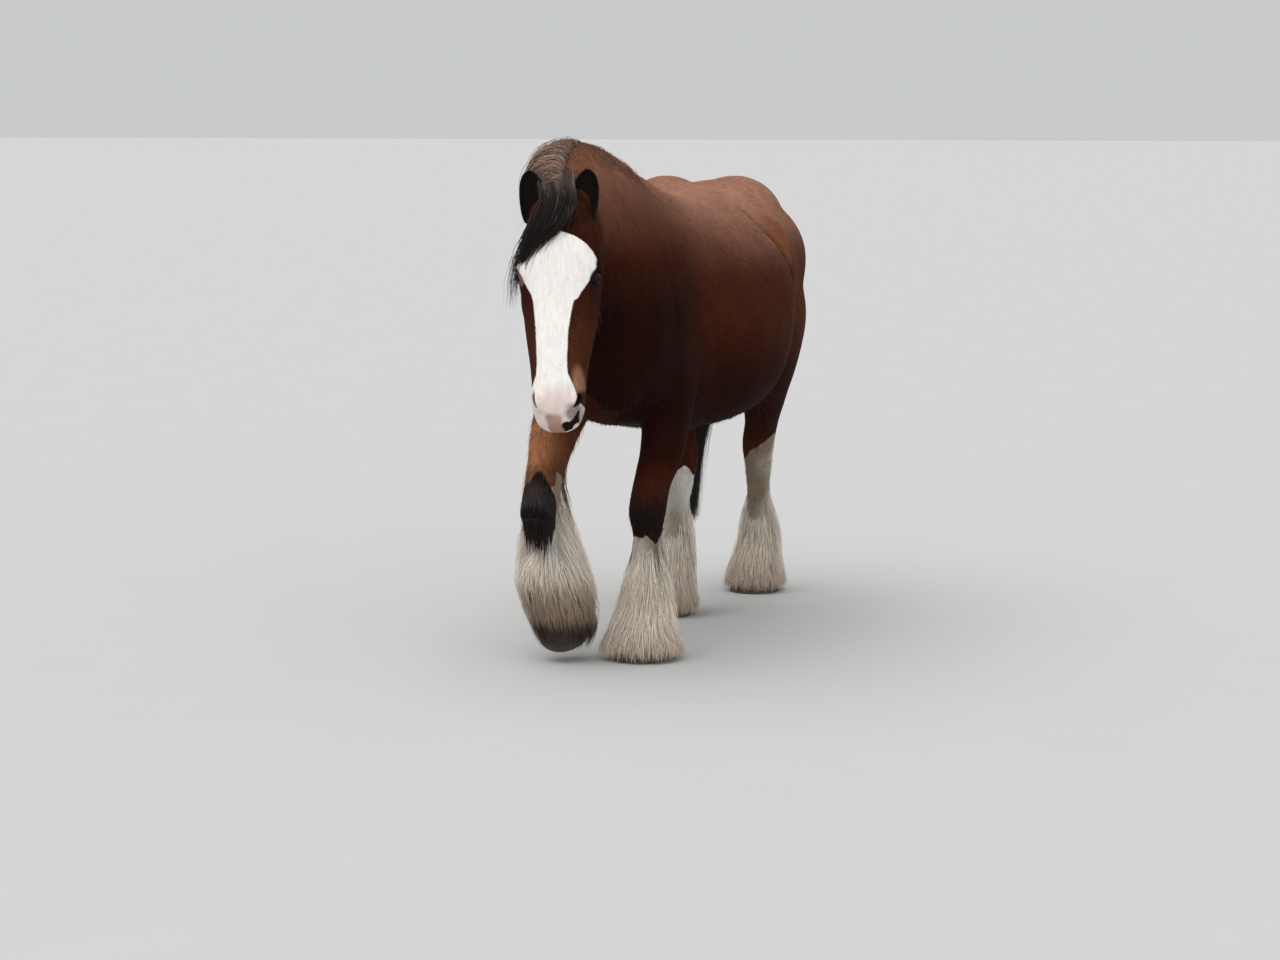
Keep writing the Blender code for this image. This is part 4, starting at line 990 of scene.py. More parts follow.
def on_head(points):
    """Points as (side, down, out) on the head."""
    own = in_axes(HEAD_FRAME, points)
    return np.stack([own[:, 0], -own[:, 2], -own[:, 1]], axis=1)


def head_pieces():
    """The skull with the lumps of bone and flesh on it, its right brow further out."""
    pieces = [lofted("skull", head_rings())]
    for side, down, out, radii, twist in HEAD_LUMPS:
        for sign in (1, -1) if side else (1,):
            aside = sign * side + JAW_SWING * out - BROW_SWING * (sign < 0 and down < BROW_DOWN)
            place = Matrix.Translation((aside, -out, -down)) @ Matrix.Rotation(sign * twist, 4, "Y")
            pieces.append(ball("lump", HEAD_FRAME @ place, (radii[0], radii[2], radii[1])))
    return pieces


def body_pieces():
    """Trunk, neck, whole legs and the muscles that show under the skin."""
    pieces = [lofted("trunk", body_rings(TRUNK)), lofted("neck", body_rings(NECK))]
    for rows in (FORE_LEFT, FORE_RIGHT, HIND_LEFT, HIND_RIGHT):
        pieces.append(lofted("upper_leg", leg_rings(rows)))
    for leg in LOWER.values():
        pieces.append(lofted("lower_leg", leg_rings(lower_leg_rows(leg))))
    for sides, ahead, up, radii, tilt in MUSCLES:
        for side in sides:
            place = Matrix.Translation(spot(side, ahead, up)) @ Matrix.Rotation(math.radians(tilt), 4, "X")
            pieces.append(ball("muscle", place, radii))
    return pieces


def refined(obj, chosen, tree):
    """Splits the chosen squares of a mesh in four and lays the new points on another surface."""
    inside = chosen(points_of(obj.data))
    with edited(obj.data) as bm:
        edges = [edge for edge in bm.edges if inside[edge.verts[0].index] and inside[edge.verts[1].index]]
        bmesh.ops.subdivide_edges(bm, edges=edges, cuts=1, use_grid_fill=True)
    points = points_of(obj.data)
    weight = head_share(points)
    for index in np.nonzero(weight > 0)[0]:
        near = tree.find_nearest(Vector(points[index]))[0]
        points[index] += (np.array(near) - points[index]) * weight[index]
    put_points(obj.data, points)


def softened(obj, chosen, times):
    """Evens out the creases where big shapes meet."""
    inside = chosen(points_of(obj.data))
    with edited(obj.data) as bm:
        verts = [vert for vert in bm.verts if inside[vert.index]]
        for _ in range(times):
            bmesh.ops.smooth_vert(bm, verts=verts, factor=0.5, use_axis_x=True, use_axis_y=True,
                                  use_axis_z=True)


def near_shoulders(points):
    """From the withers and shoulder blades to the lower half of the neck and the breast."""
    ahead, up = -points[:, 1], points[:, 2]
    return (ahead > 0.12) & (ahead < 0.84) & (up > 0.98) & (up < 1.62)


def near_eyes(points):
    spots = [np.array(eye_matrix(sign).translation) for sign in (1, -1)]
    return np.min([np.linalg.norm(points - place, axis=1) for place in spots], axis=0) < EYE_REGION


def near_muzzle(points):
    return (on_head(points)[:, 1] > MUZZLE_FROM) & (head_share(points) > 0.5)


def pressed(points, matrix, sink):
    """Sinks points against a matrix's outward axis."""
    return points - sink[:, None] * np.array(matrix.to_3x3().col[2])


def socketed(points):
    """Sinks the skin behind each eye, where the lids and the eyeball lie over it."""
    for sign in (1, -1):
        own = in_axes(eye_matrix(sign), points)
        spread = np.sqrt((own[:, 0] / 1.30) ** 2 + own[:, 1] ** 2)
        sink = 0.045 * eased(0.0245, 0.0190, spread) * (own[:, 2] > -0.02)
        points = pressed(points, eye_matrix(sign), sink)
    return points


def nostrilled(points):
    """Opens the nostrils, with a raised rim round each."""
    for sign in (1, -1):
        spread = nostril_spread(sign, points)
        sink = 0.026 * eased(1.08, 0.50, spread) - 0.0034 * np.exp(-((spread - 1.45) / 0.35) ** 2)
        points = pressed(points, nostril_matrix(sign), sink)
    return points


def lid_point(matrix, tree, turn, offset, lift, on_skin):
    """A point of a lid at a turn round the eye, between the ball's surface and the skin's."""
    outwards = matrix.to_3x3().col[2]
    up_way = 1 if matrix.to_3x3().col[1].z > 0 else -1
    across, rise = math.cos(turn), math.sin(turn)
    half = LID_HIGH if rise * up_way > 0 else LID_LOW
    x = (LID_LONG + offset) * math.copysign(abs(across) ** LID_CORNER, across)
    y = (half + offset) * math.copysign(abs(rise) ** LID_ARCH, rise)
    ball_height = math.sqrt(max(EYE_RADIUS ** 2 - x * x - y * y, 0.0))
    hit = tree.ray_cast(matrix @ Vector((x, y, LID_RAY / 2)), -outwards, LID_RAY)[0]
    skin_height = (matrix.inverted() @ hit).z if hit else 0.0
    return matrix @ Vector((x, y, ball_height * (1 - on_skin) + skin_height * on_skin + lift))


def eye_lids(bm, sign, tree):
    """Both lids of an eye, from under the ball's edge over the margin and its folds to the skin."""
    matrix = eye_matrix(sign)
    turns = [2 * math.pi * step / LID_STEPS for step in range(LID_STEPS)]
    rings = [[lid_point(matrix, tree, turn, *row) for turn in turns] for row in LID_RINGS]
    _, faces = bridged(bm, rings)
    bmesh.ops.recalc_face_normals(bm, faces=faces)
    if sum(face.normal.dot(matrix.to_3x3().col[2]) * face.calc_area() for face in faces) < 0:
        bmesh.ops.reverse_faces(bm, faces=faces)


def ear_rings(sign):
    """Rings of a cupped leaf of an ear, its hollow turned forwards and a little out."""
    rings = []
    base = Vector((sign * 0.079 - 0.009, 0.034, -0.054))
    tip = Vector((sign * 0.095 - 0.009, 0.012, EAR_LENGTH - 0.054))
    facing = Vector((sign * 0.30, -1.0, 0.12)).normalized()
    across = (tip - base).normalized().cross(facing).normalized()
    turns = [EAR_WRAP * (2 * part / (EAR_SIDES - 1) - 1) for part in range(EAR_SIDES)]
    for share, width, depth in blend_rows(EAR_SHAPE, EAR_STEPS):
        centre = base.lerp(tip, share) - facing * (0.010 * math.sin(math.pi * share))
        inner = (max(width - 0.0025, width * 0.5), max(depth - 0.004, depth * 0.4))
        rings.append([
            HEAD_FRAME @ (centre + across * (wide * math.sin(turn)) - facing * (deep * math.cos(turn)))
            for (wide, deep), way in (((width, depth), turns), (inner, turns[::-1])) for turn in way
        ])
    return rings


def creased(points, normals):
    """Presses every fold of the body and the head into the skin, and the line of the mouth."""
    for path, half_width, depth in FOLDS:
        points = folded(points, normals, [spot(*place) for place in path], half_width, depth)
    for path, half_width, depth in HEAD_FOLDS:
        for sign in (1, -1):
            points = folded(points, normals, head_path(sign, path), half_width, depth)
    for sign in (1, -1):
        lips = head_path(sign, MOUTH)
        points = folded(points, normals, [lips[0]] + lips, MOUTH_HALF_WIDTH, MOUTH_DEPTH)
    return points + normals * (0.0016 * ripple(points, 14.0, 3))[:, None]


def sculpted_skin(looks):
    """One skin over the whole horse: even squares, finer on the head, finest at eyes and muzzle."""
    skin = melted("skin", body_pieces() + [lofted("skull", head_rings())], looks.voxel, BODY_SMOOTHING)
    softened(skin, near_shoulders, SHOULDER_SMOOTHING)
    fine = melted("fine_head", head_pieces() + [lofted("neck_end", body_rings(NECK[3:]))], FINE_SQUARE,
                  FINE_SMOOTHING)
    fine_tree = tree_of(fine.data)
    refined(skin, lambda points: head_share(points) > 0, fine_tree)
    refined(skin, lambda points: near_eyes(points) | near_muzzle(points), fine_tree)
    discard([fine])
    mesh = skin.data
    points = creased(points_of(mesh), values_of(mesh.vertices, "normal"))
    put_points(mesh, points)
    tree = tree_of(mesh)
    put_points(mesh, nostrilled(socketed(points)))
    with edited(mesh) as bm:
        for sign in (1, -1):
            eye_lids(bm, sign, tree)
        ear_start = len(bm.verts)
        for sign in (1, -1):
            loft(bm, ear_rings(sign))
    mesh.shade_smooth()
    return skin, ear_start


def blended(base, colour, share):
    """A colour of each point moved towards another by a share."""
    return base + (np.array(colour) - base) * np.clip(share, 0, 1)[:, None]


def mixed(first, second, share):
    """One colour turned into another by a share."""
    return np.array(first) * (1 - share) + np.array(second) * share


def blob(points, centre, reach):
    """1 at a centre, fading to nothing at a reach, which may differ along each axis."""
    away = np.linalg.norm((points - np.array(centre)) / np.array(reach), axis=1)
    return 1 - eased(0.45, 1.0, away)


def blaze_depth(place):
    """How far each point of the face lies inside the blaze, in metres."""
    downs, rights, lefts = zip(*BLAZE)
    right = np.interp(place[:, 1], downs, rights)
    left = np.interp(place[:, 1], downs, lefts)
    across = np.minimum(left - place[:, 0], place[:, 0] - right)
    inside = np.minimum(across, place[:, 1] - downs[0] + 0.004)
    far_round = place[:, 2] + np.where(place[:, 1] > 0.60, 0.150, 0.060)
    return np.minimum(inside, far_round)


def leg_line(leg):
    """A lower leg's joints, from its start down to its sole."""
    return np.array([leg.start, leg.joint, leg.fetlock, leg.coronet, leg.sole])


def leg_share(points):
    """Which leg each low point belongs to: for each leg's name the points nearest to it."""
    away = [from_path(points, leg_line(leg)) for leg in LOWER.values()]
    nearest = np.where(np.min(away, axis=0) < LEG_REGION, np.argmin(away, axis=0), -1)
    return {name: nearest == index for index, name in enumerate(LOWER)}


def coat_tones(points, head, place, spotty, looks):
    """The bay's tones over the body, the neck and the face, with painted light and shade laid into them."""
    up, ahead = points[:, 2], -points[:, 1]
    patchy = ripple(points * (1.0, 0.6, 1.0), 7.0, 11)
    # Painted top light and sheen: the top of the back and rump lighter, as lit from above.
    back = eased(1.24, 1.62, up + 0.04 * patchy) * eased(0.62, 0.10, ahead)
    thigh = eased(-0.20, -0.50, ahead) * eased(0.62, 0.90, up) * eased(1.40, 1.10, up)
    # Painted sheen: the upper neck lighter, over the crest's own warmer hair.
    crest = eased(1.34, 1.70, up + 0.03 * patchy) * eased(0.10, 0.60, ahead) * (1 - head)
    # Painted shade: the chest and breast darker, and the lower body darker towards the belly.
    chest = eased(0.22, 0.58, ahead + 0.06 * patchy) * eased(1.50, 1.16, up) * eased(0.66, 0.90, up)
    belly = eased(1.18, 0.84, up + 0.05 * patchy) * eased(0.58, 0.72, up)
    tone = np.tile(np.array(looks.bay), (len(points), 1))
    for colour, share in (
        # Painted top light and sheen on the back and rump.
        (looks.rump, back * (0.80 + 0.30 * patchy)),
        (looks.orange, thigh * (0.20 + 0.10 * patchy)),
        # Crest tone over the upper neck: painted sheen on the crest's own hair.
        (looks.crest, crest * 0.75),
        # Painted shade on the chest and the belly.
        (looks.dark_bay_and_shade, chest * (1 - head) * 0.95),
        (looks.dark_bay_and_shade, belly * 0.85),
        (looks.orange, blob(points, spot(-0.19, 0.62, 0.78), 0.18)),
        (looks.fawn, blob(points, spot(-0.215, 0.69, 0.74), 0.12) * 0.5),
        (looks.cheek, head * 0.9),
        (looks.orange, head * 0.16 * eased(0.28, 0.50, place[:, 1])),
        (looks.tan, head * blob(spotty, (0.058, 0.580, -0.030), (0.036, 0.056, 0.06)) * 0.75),
        (looks.dark_bay_and_shade, head * blob(place, (0.100, 0.200, -0.05), (0.05, 0.06, 0.07)) * 0.6),
        # Painted light on the front of the haunch, beside the flank crease.
        (looks.orange, blob(points, spot(0.300, -0.400, 1.400), 0.13) * 0.7),
        # Painted shade in the flank crease.
        (looks.dark_bay_and_shade, eased(0.022, 0.002, from_path(points, FLANK_LINE)) * 0.55),
    ):
        tone = blended(tone, colour, share)
    return tone


def leg_marks(points, tone, white, looks):
    """The tone with the legs' points on it, the white with its stockings, their dark and their pale tone."""
    up, ahead, side = points[:, 2], -points[:, 1], points[:, 0]
    dark = np.full(len(points), OUTSIDE)
    pale = np.tile(np.array(looks.white), (len(points), 1))
    ragged = 0.020 * ripple(points * (1.0, 1.0, 0.30), 70.0, 21) + 0.012 * ripple(points, 22.0, 23)
    mottle = ripple(points * (1.0, 1.0, 0.4), 30.0, 27)
    for name, chosen in leg_share(points).items():
        level, fall = WHITE_TO[name]
        leg = LOWER[name]
        middle = feather_axis(leg, up)
        inner = (side - middle[:, 0]) * (-1 if leg.joint[0] > 0 else 1)
        front = ahead + middle[:, 1]
        here = level + fall * inner / 0.06
        if name == "fore_right":
            reach = np.interp(up, *zip(*KNEE_REACH)) - from_path(points, KNEE_PATCH) + ragged * 0.5
            knee = chosen * eased(0.70, 0.60, up) * eased(-0.02, 0.02, front)
            tone = blended(tone, looks.black, knee * 0.7)
            dark = np.where(chosen, reach, dark)
            white = np.where(chosen, np.minimum(here - up + ragged * 2, -reach), white)
            pale = blended(pale, looks.tan, chosen * eased(0.48, 0.56, up) * 0.75)
            tone = blended(tone, looks.fawn, chosen * eased(0.80, 0.66, up) * 0.28)
            tone = blended(tone, looks.bay, chosen * eased(0.58, 0.72, up) * eased(0.00, 0.05, inner) * 0.55)
        else:
            white = np.where(chosen, here - up + ragged, white)
        if name == "fore_left":
            dark = np.where(chosen, np.minimum(up - 0.435, 0.515 - up) + ragged * 1.8, dark)
            white = np.where(chosen, np.minimum(white, 0.420 - up + ragged * 1.8), white)
            tone = blended(tone, looks.black, chosen * eased(0.62, 0.50, up) * eased(0.38, 0.42, up) * 0.9)
        # Soil and painted shade: the white greyer higher up, under the body, and at the front, with mottled
        # soil.
        soil = LEG_SOIL_AND_SHADE[name] * (0.6 + 0.4 * eased(-0.03, 0.03, front)) * eased(0.10, 0.32, up)
        pale = blended(pale, looks.soil_and_shade, chosen * (soil + 0.45 * mottle))
    return tone, white, dark, pale


def muzzle_tones(pale, head, place, spotty, looks):
    """The pale tone with the pink of the muzzle and its brown, mauve and black patches."""
    flat = spotty * (1.0, 1.0, 0.0)
    pale = blended(pale, looks.muzzle, head * eased(0.575, 0.64, place[:, 1]))
    lip = eased(0.034, 0.020, np.abs(flat[:, 0] + 0.014)) * eased(0.672, 0.692, flat[:, 1])
    pale = blended(pale, looks.lip, head * lip * 0.9)
    pale = blended(pale, looks.mauve, head * blob(flat, (0.050, 0.674, 0.0), (0.036, 0.036, 1.0)) * 0.9)
    away, along = path_distance(flat, LIP_PATCH)
    patch = eased(0.0185, 0.0145, away + 0.0115 * along)
    return blended(pale, looks.black, head * patch * (place[:, 2] > -0.085))


def bare_skin(points, head, looks):
    """How bare the skin is in the nostrils, round the eyes and between the lips, and its colour."""
    bare = np.zeros(len(points))
    naked = np.tile(np.array(looks.black), (len(points), 1))
    for sign in (1, -1):
        bare = np.maximum(bare, head * eased(1.15, 0.92, nostril_spread(sign, points)))
        own = in_axes(eye_matrix(sign), points)
        spread = np.sqrt((own[:, 0] / 0.031) ** 2 + (own[:, 1] / 0.0225) ** 2)
        lid = head * eased(1.20, 0.85, spread) * (np.abs(own[:, 2] - 0.01) < 0.030)
        bare = np.maximum(bare, lid)
        naked[lid > 0.01] = looks.pink if sign < 0 else looks.black
    seam = np.min([path_distance(points, head_path(sign, MOUTH))[0] for sign in (1, -1)], axis=0)
    in_seam = head * eased(0.0048, 0.0016, seam)
    naked[in_seam > bare] = np.array(looks.lip) * 0.35
    return np.maximum(bare, in_seam), naked


def markings(points, looks):
    """Bay tone, white and dark depth, pale tone, and bare skin of each place on the horse."""
    head = head_share(points)
    place = on_head(points)
    spotty = place + 0.010 * np.stack([ripple(points, 60.0, seed) for seed in (29, 30, 31)], axis=1)
    tone = coat_tones(points, head, place, spotty, looks)
    white = np.where(head > 0.3, blaze_depth(place), OUTSIDE)
    tone, white, dark, pale = leg_marks(points, tone, white, looks)
    pale = muzzle_tones(pale, head, place, spotty, looks)
    bare, naked = bare_skin(points, head, looks)
    return {"tone": tone, "white": white, "dark": dark, "pale": pale, "bare": bare, "naked": naked}


def lie_of(points):
    """Which way the short coat lies at each place, as one direction along the skin."""
    head = head_share(points)[:, None]
    low = eased(0.98, 0.74, points[:, 2])[:, None]
    fore = eased(0.45, 0.85, -points[:, 1])[:, None]
    flow = mixed(LIE_OF_BODY, LIE_OF_NECK, fore)
    flow = mixed(flow, LIE_OF_LEGS, low)
    flow = mixed(flow, HEAD_FRAME.to_3x3() @ Vector(LIE_OF_FACE), head)
    return flow / np.linalg.norm(flow, axis=1)[:, None]


def paint_skin(mesh, ear_start, looks):
    """Stores the markings and the lie of the coat at each point of the skin."""
    points = points_of(mesh)
    marks = markings(points, looks)
    ears = np.arange(len(points)) >= ear_start
    facing = values_of(mesh.vertices, "normal") @ np.array(HEAD_FRAME.to_3x3() @ Vector((0, -1, 0)))
    marks["white"][ears] = OUTSIDE
    marks["dark"][ears] = OUTSIDE
    marks["bare"][ears] = 0.0
    marks["tone"][ears] = looks.dark_bay_and_shade
    marks["tone"][ears & (facing > -0.1)] = looks.black
    flow = lie_of(points)
    along = np.sum(points * flow, axis=1)[:, None] * flow
    put_values(mesh, "lie", "FLOAT_VECTOR", (points - along * 0.86) * 10.0)
    for name in ("tone", "pale", "naked"):
        put_tones(mesh, name, marks[name])
    for name in ("white", "dark", "bare"):
        put_values(mesh, name, "FLOAT", marks[name])


def build_eyeballs(looks):
    """Both eyeballs as one piece, with the places of iris and pupil stored on them."""
    bm = bmesh.new()
    for sign in (1, -1):
        made = bmesh.ops.create_uvsphere(bm, u_segments=48, v_segments=32, radius=EYE_RADIUS)["verts"]
        bmesh.ops.transform(bm, matrix=eye_matrix(sign), verts=made)
    eyes = meshed("eyes", bm)
    reach, pupil = [], []
    for sign, points in zip((1, -1), np.split(points_of(eyes.data), 2)):
        along, across, out = in_axes(eye_matrix(sign), points).T / EYE_RADIUS
        reach.append(np.where(out > 0, np.hypot(along, across), 2.0))
        pupil.append(np.where(out > 0, np.hypot(along / PUPIL_LONG, across / PUPIL_HIGH), 2.0))
    put_values(eyes.data, "reach", "FLOAT", np.concatenate(reach))
    put_values(eyes.data, "pupil", "FLOAT", np.concatenate(pupil))
    eyes.data.materials.append(eye_material(looks))
    return eyes


def hoof_ring(height, radius, shift):
    """A ring of the hoof, a little flatter at the heel, shifted back by the wall's slope."""
    ring = []
    for index in range(HOOF_SIDES):
        turn = 2 * math.pi * index / HOOF_SIDES
        ahead = math.cos(turn) * radius
        if ahead < 0:
            ahead *= HOOF_HEEL
        ring.append(Vector((math.sin(turn) * radius * HOOF_WIDTH, -(ahead - shift), height)))
    return ring


def build_hooves(looks):
    """Four hooves in one piece, with their height over the sole stored on them."""
    bm = bmesh.new()
    rows = blend_rows(HOOF_PROFILE, BODY_STEPS)
    for leg in LOWER.values():
        place = Matrix.Translation(spot(*leg.sole)) @ Matrix.Rotation(leg.toe_down, 4, "X")
        rings = []
        for index, (height, radius, shift) in enumerate(rows):
            growth = 0.0006 * math.sin(height * RING_WAVE) * (0 < index < len(rows) - 1)
            rings.append([place @ point for point in hoof_ring(height, radius + growth, shift)])
        loft(bm, rings)
    hooves = meshed("hooves", bm)
    heights = np.tile(np.repeat([row[0] for row in rows], HOOF_SIDES), len(LOWER))
    put_values(hooves.data, "height", "FLOAT", heights)
    hooves.data.materials.append(horn_material(looks))
    return hooves


class Tufts(NamedTuple):
    """Tapered three-sided bars of hair of one kind: n of them, with k points along each.

    Paths and outward directions are (n, k, 3), half widths (n, k), OFBake places (n, 2) and
    tones (n, k, 3).
    """

    paths: np.ndarray
    widths: np.ndarray
    outs: np.ndarray
    places: np.ndarray
    tones: np.ndarray


def unit(vectors):
    return vectors / (np.linalg.norm(vectors, axis=-1, keepdims=True) + 1e-9)


def tuft_rings(tufts):
    """The three points round each point of each path: two under it and one over it."""
    along = unit(np.gradient(tufts.paths, axis=1))
    out = unit(tufts.outs - along * np.sum(tufts.outs * along, axis=2, keepdims=True))
    wide = tufts.widths[:, :, None]
    aside, rise = np.cross(along, out) * wide, out * wide * TUFT_HEIGHT
    paths = tufts.paths
    return np.stack([paths - aside - rise * 0.5, paths + aside - rise * 0.5, paths + rise], axis=2)


def tuft_mesh(name, *kinds):
    """Joins tufts of one or more kinds into one mesh."""
    points, corners, sizes, places, tones = [], [], [], [], []
    start = 0
    for tufts in kinds:
        count, steps, _ = tufts.paths.shape
        sides = [(low + side, low + (side + 1) % 3, low + 3 + (side + 1) % 3, low + 3 + side)
                 for low in range(0, steps * 3 - 3, 3) for side in range(3)]
        ends = [2, 1, 0, steps * 3 - 3, steps * 3 - 2, steps * 3 - 1]
        own = np.concatenate([np.ravel(sides), ends])
        ring_place = np.stack([np.tile([0.0, 0.5, 1.0], steps), np.repeat(shares(steps), 3)], axis=1)
        points.append(tuft_rings(tufts).reshape(-1, 3))
        corners.append((start + np.arange(count)[:, None] * (steps * 3) + own).ravel())
        sizes.append(np.tile([4] * len(sides) + [3, 3], count))
        places.append((tufts.places[:, None] + ring_place[own][None] * OFBAKE_PATCH).reshape(-1, 2))
        tones.append(np.repeat(tufts.tones.reshape(-1, 3), 3, axis=0))
        start += count * steps * 3
    points, corners, sizes, places, tones = map(np.concatenate, (points, corners, sizes, places, tones))
    mesh = bpy.data.meshes.new(name)
    mesh.vertices.add(len(points))
    mesh.vertices.foreach_set("co", points.astype(np.float32).ravel())
    mesh.loops.add(len(corners))
    mesh.loops.foreach_set("vertex_index", corners.astype(np.int32))
    mesh.polygons.add(len(sizes))
    mesh.polygons.foreach_set("loop_start", np.concatenate([[0], np.cumsum(sizes)[:-1]]).astype(np.int32))
    mesh.update(calc_edges=True)
    mesh.shade_smooth()
    mesh.uv_layers.new(name="OFBake").data.foreach_set("uv", np.clip(places, 0, 1).astype(np.float32).ravel())
    put_tones(mesh, "tone", tones)
    return linked(name, mesh)


def shares(steps):
    """Even shares of the way along strands, from root to tip."""
    return np.linspace(0, 1, steps)[None]


def taper(count, steps, half_width, chance, fullest=0.3, power=1.6):
    """Half widths along tufts: a little less at the root, fullest part way, fine at the tip."""
    share = np.linspace(0, 1, steps)
    thinned = np.clip((share - fullest) / (1 - fullest), 0, 1) ** power
    shape = (0.65 + 0.35 * np.clip(share / fullest, 0, 1)) * (1 - thinned)
    widths = half_width * chance.uniform(0.65, 1.3, (count, 1)) * shape[None]
    return np.maximum(widths, LEAST_WIDTH)


def gathered(paths, keys, clumps, pull, chance):
    """Draws strands together towards the tips of locks, as hair hangs; also tells each one's lock."""
    count = len(paths)
    centres = keys[chance.choice(count, min(clumps, count), replace=False)]
    nearest = np.zeros(count, int)
    for start in range(0, count, BATCH):
        gap = np.linalg.norm(keys[start:start + BATCH, None] - centres[None], axis=2)
        nearest[start:start + BATCH] = np.argmin(gap, axis=1)
    share = shares(paths.shape[1])[..., None] ** 1.4
    total = np.zeros((len(centres),) + paths.shape[1:])
    np.add.at(total, nearest, paths)
    sizes = np.bincount(nearest, minlength=len(centres))[:, None, None]
    means = total / np.maximum(sizes, 1)
    strength = pull * chance.uniform(0.6, 1.15, (len(centres), 1, 1))
    return paths + (means[nearest] - paths) * share * np.clip(strength[nearest], 0, 0.95), nearest


def per_lock(chance, lock, low, high):
    """A chance value for each lock, given to all of its strands."""
    return chance.uniform(low, high, lock.max() + 1)[lock]


def wavy(paths, amount, turns, chance):
    """Bends each strand in a slow wave that grows towards its tip."""
    count, steps, _ = paths.shape
    share = shares(steps)[..., None]
    phase = chance.uniform(0, 2 * math.pi, (count, 1, 3))
    direction = chance.normal(size=(count, 1, 3))
    return paths + direction * amount * share * np.sin(share * turns * 2 * math.pi + phase)


def outside(paths, tree, clearance):
    """Lifts points that have sunk into the skin out to a clearance over it, all but the roots."""
    flat = paths.reshape(-1, 3)
    steps = paths.shape[1]
    for index in range(len(flat)):
        if index % steps == 0:
            continue
        point = Vector(flat[index])
        near, normal, _, away = tree.find_nearest(point)
        if near is not None and away < SUNK_REACH and (point - near).dot(normal) < clearance:
            flat[index] = np.array(near + normal * (clearance * (0.6 + 0.4 * ((index * 7) % 5) / 4)))
    return flat.reshape(paths.shape)


def sampled(table, share):
    """Rows of a table at fractional places from 0 to 1."""
    place = np.clip(share, 0, 1) * (len(table) - 1)
    low = np.minimum(place.astype(int), len(table) - 2)
    part = (place - low)[..., None]
    return table[low] * (1 - part) + table[low + 1] * part


NECK_TABLE = np.array(blend_rows(NECK, CURVE_STEPS))


def over_neck(share, turn, over):
    """Places over the neck's skin and the way out there: turn 90 is the crest, 180 the right side."""
    rows = sampled(NECK_TABLE, share)
    high = np.stack([rows[..., 0], -rows[..., 1], rows[..., 2]], axis=-1)
    low = np.stack([rows[..., 0], -rows[..., 3], rows[..., 4]], axis=-1)
    centre = low + (high - low) * rows[..., 6:7]
    radians = np.radians(turn)
    across, up = np.cos(radians), np.sin(radians)
    power = 2 / np.where(up > 0, rows[..., 7], rows[..., 8])
    across = np.sign(across) * np.abs(across) ** power
    up = np.sign(up) * np.abs(up) ** power
    arm = np.where((up > 0)[..., None], high - centre, centre - low)
    width = rows[..., 5]
    point = centre + (width * across)[..., None] * np.array(SIDEWAYS) + arm * up[..., None]
    reach = np.linalg.norm(arm, axis=-1)
    out = (across / width)[..., None] * np.array(SIDEWAYS) + arm / reach[..., None] * (up / reach)[..., None]
    out /= np.linalg.norm(out, axis=-1, keepdims=True)
    return point + out * over[..., None], out


def toned(root, tip, count, steps, chance, spread=0.25):
    """Colours along strands from a root tone to a tip tone, each strand a little its own."""
    first, last = (np.broadcast_to(np.asarray(tone, float), (count, 3))[:, None] for tone in (root, tip))
    tones = mixed(first, last, shares(steps)[..., None])
    return tones * chance.uniform(1 - spread, 1 + spread, (count, 1, 1))


def crest_fuzz(looks, hair, chance):
    """The short hair at the mane's roots, on the left of the crest."""
    count, steps = hair.mane // 4, 4
    share = shares(steps)
    start = MANE_FROM + (MANE_TO - 0.05 - MANE_FROM) * chance.random(count)
    turn = (46 + 44 * chance.random(count) ** 0.7)[:, None]
    lift = -0.004 + (0.005 + 0.010 * chance.random(count))[:, None] * share
    forward = 0.022 * chance.random(count)[:, None] * share
    paths, outs = over_neck(start[:, None] + forward, turn + 14 * share, lift)
    places = np.stack([0.05 + 0.9 * start, np.full(count, 0.1)], axis=1)
    fuzz = blended(np.array(looks.crest) * 0.9, looks.fawn, 0.6 * eased(0.50, 0.75, start))
    return Tufts(wavy(paths, 0.004, 0.5, chance), taper(count, steps, hair.half_width, chance), outs, places,
                 toned(fuzz * 0.70, fuzz, count, steps, chance))


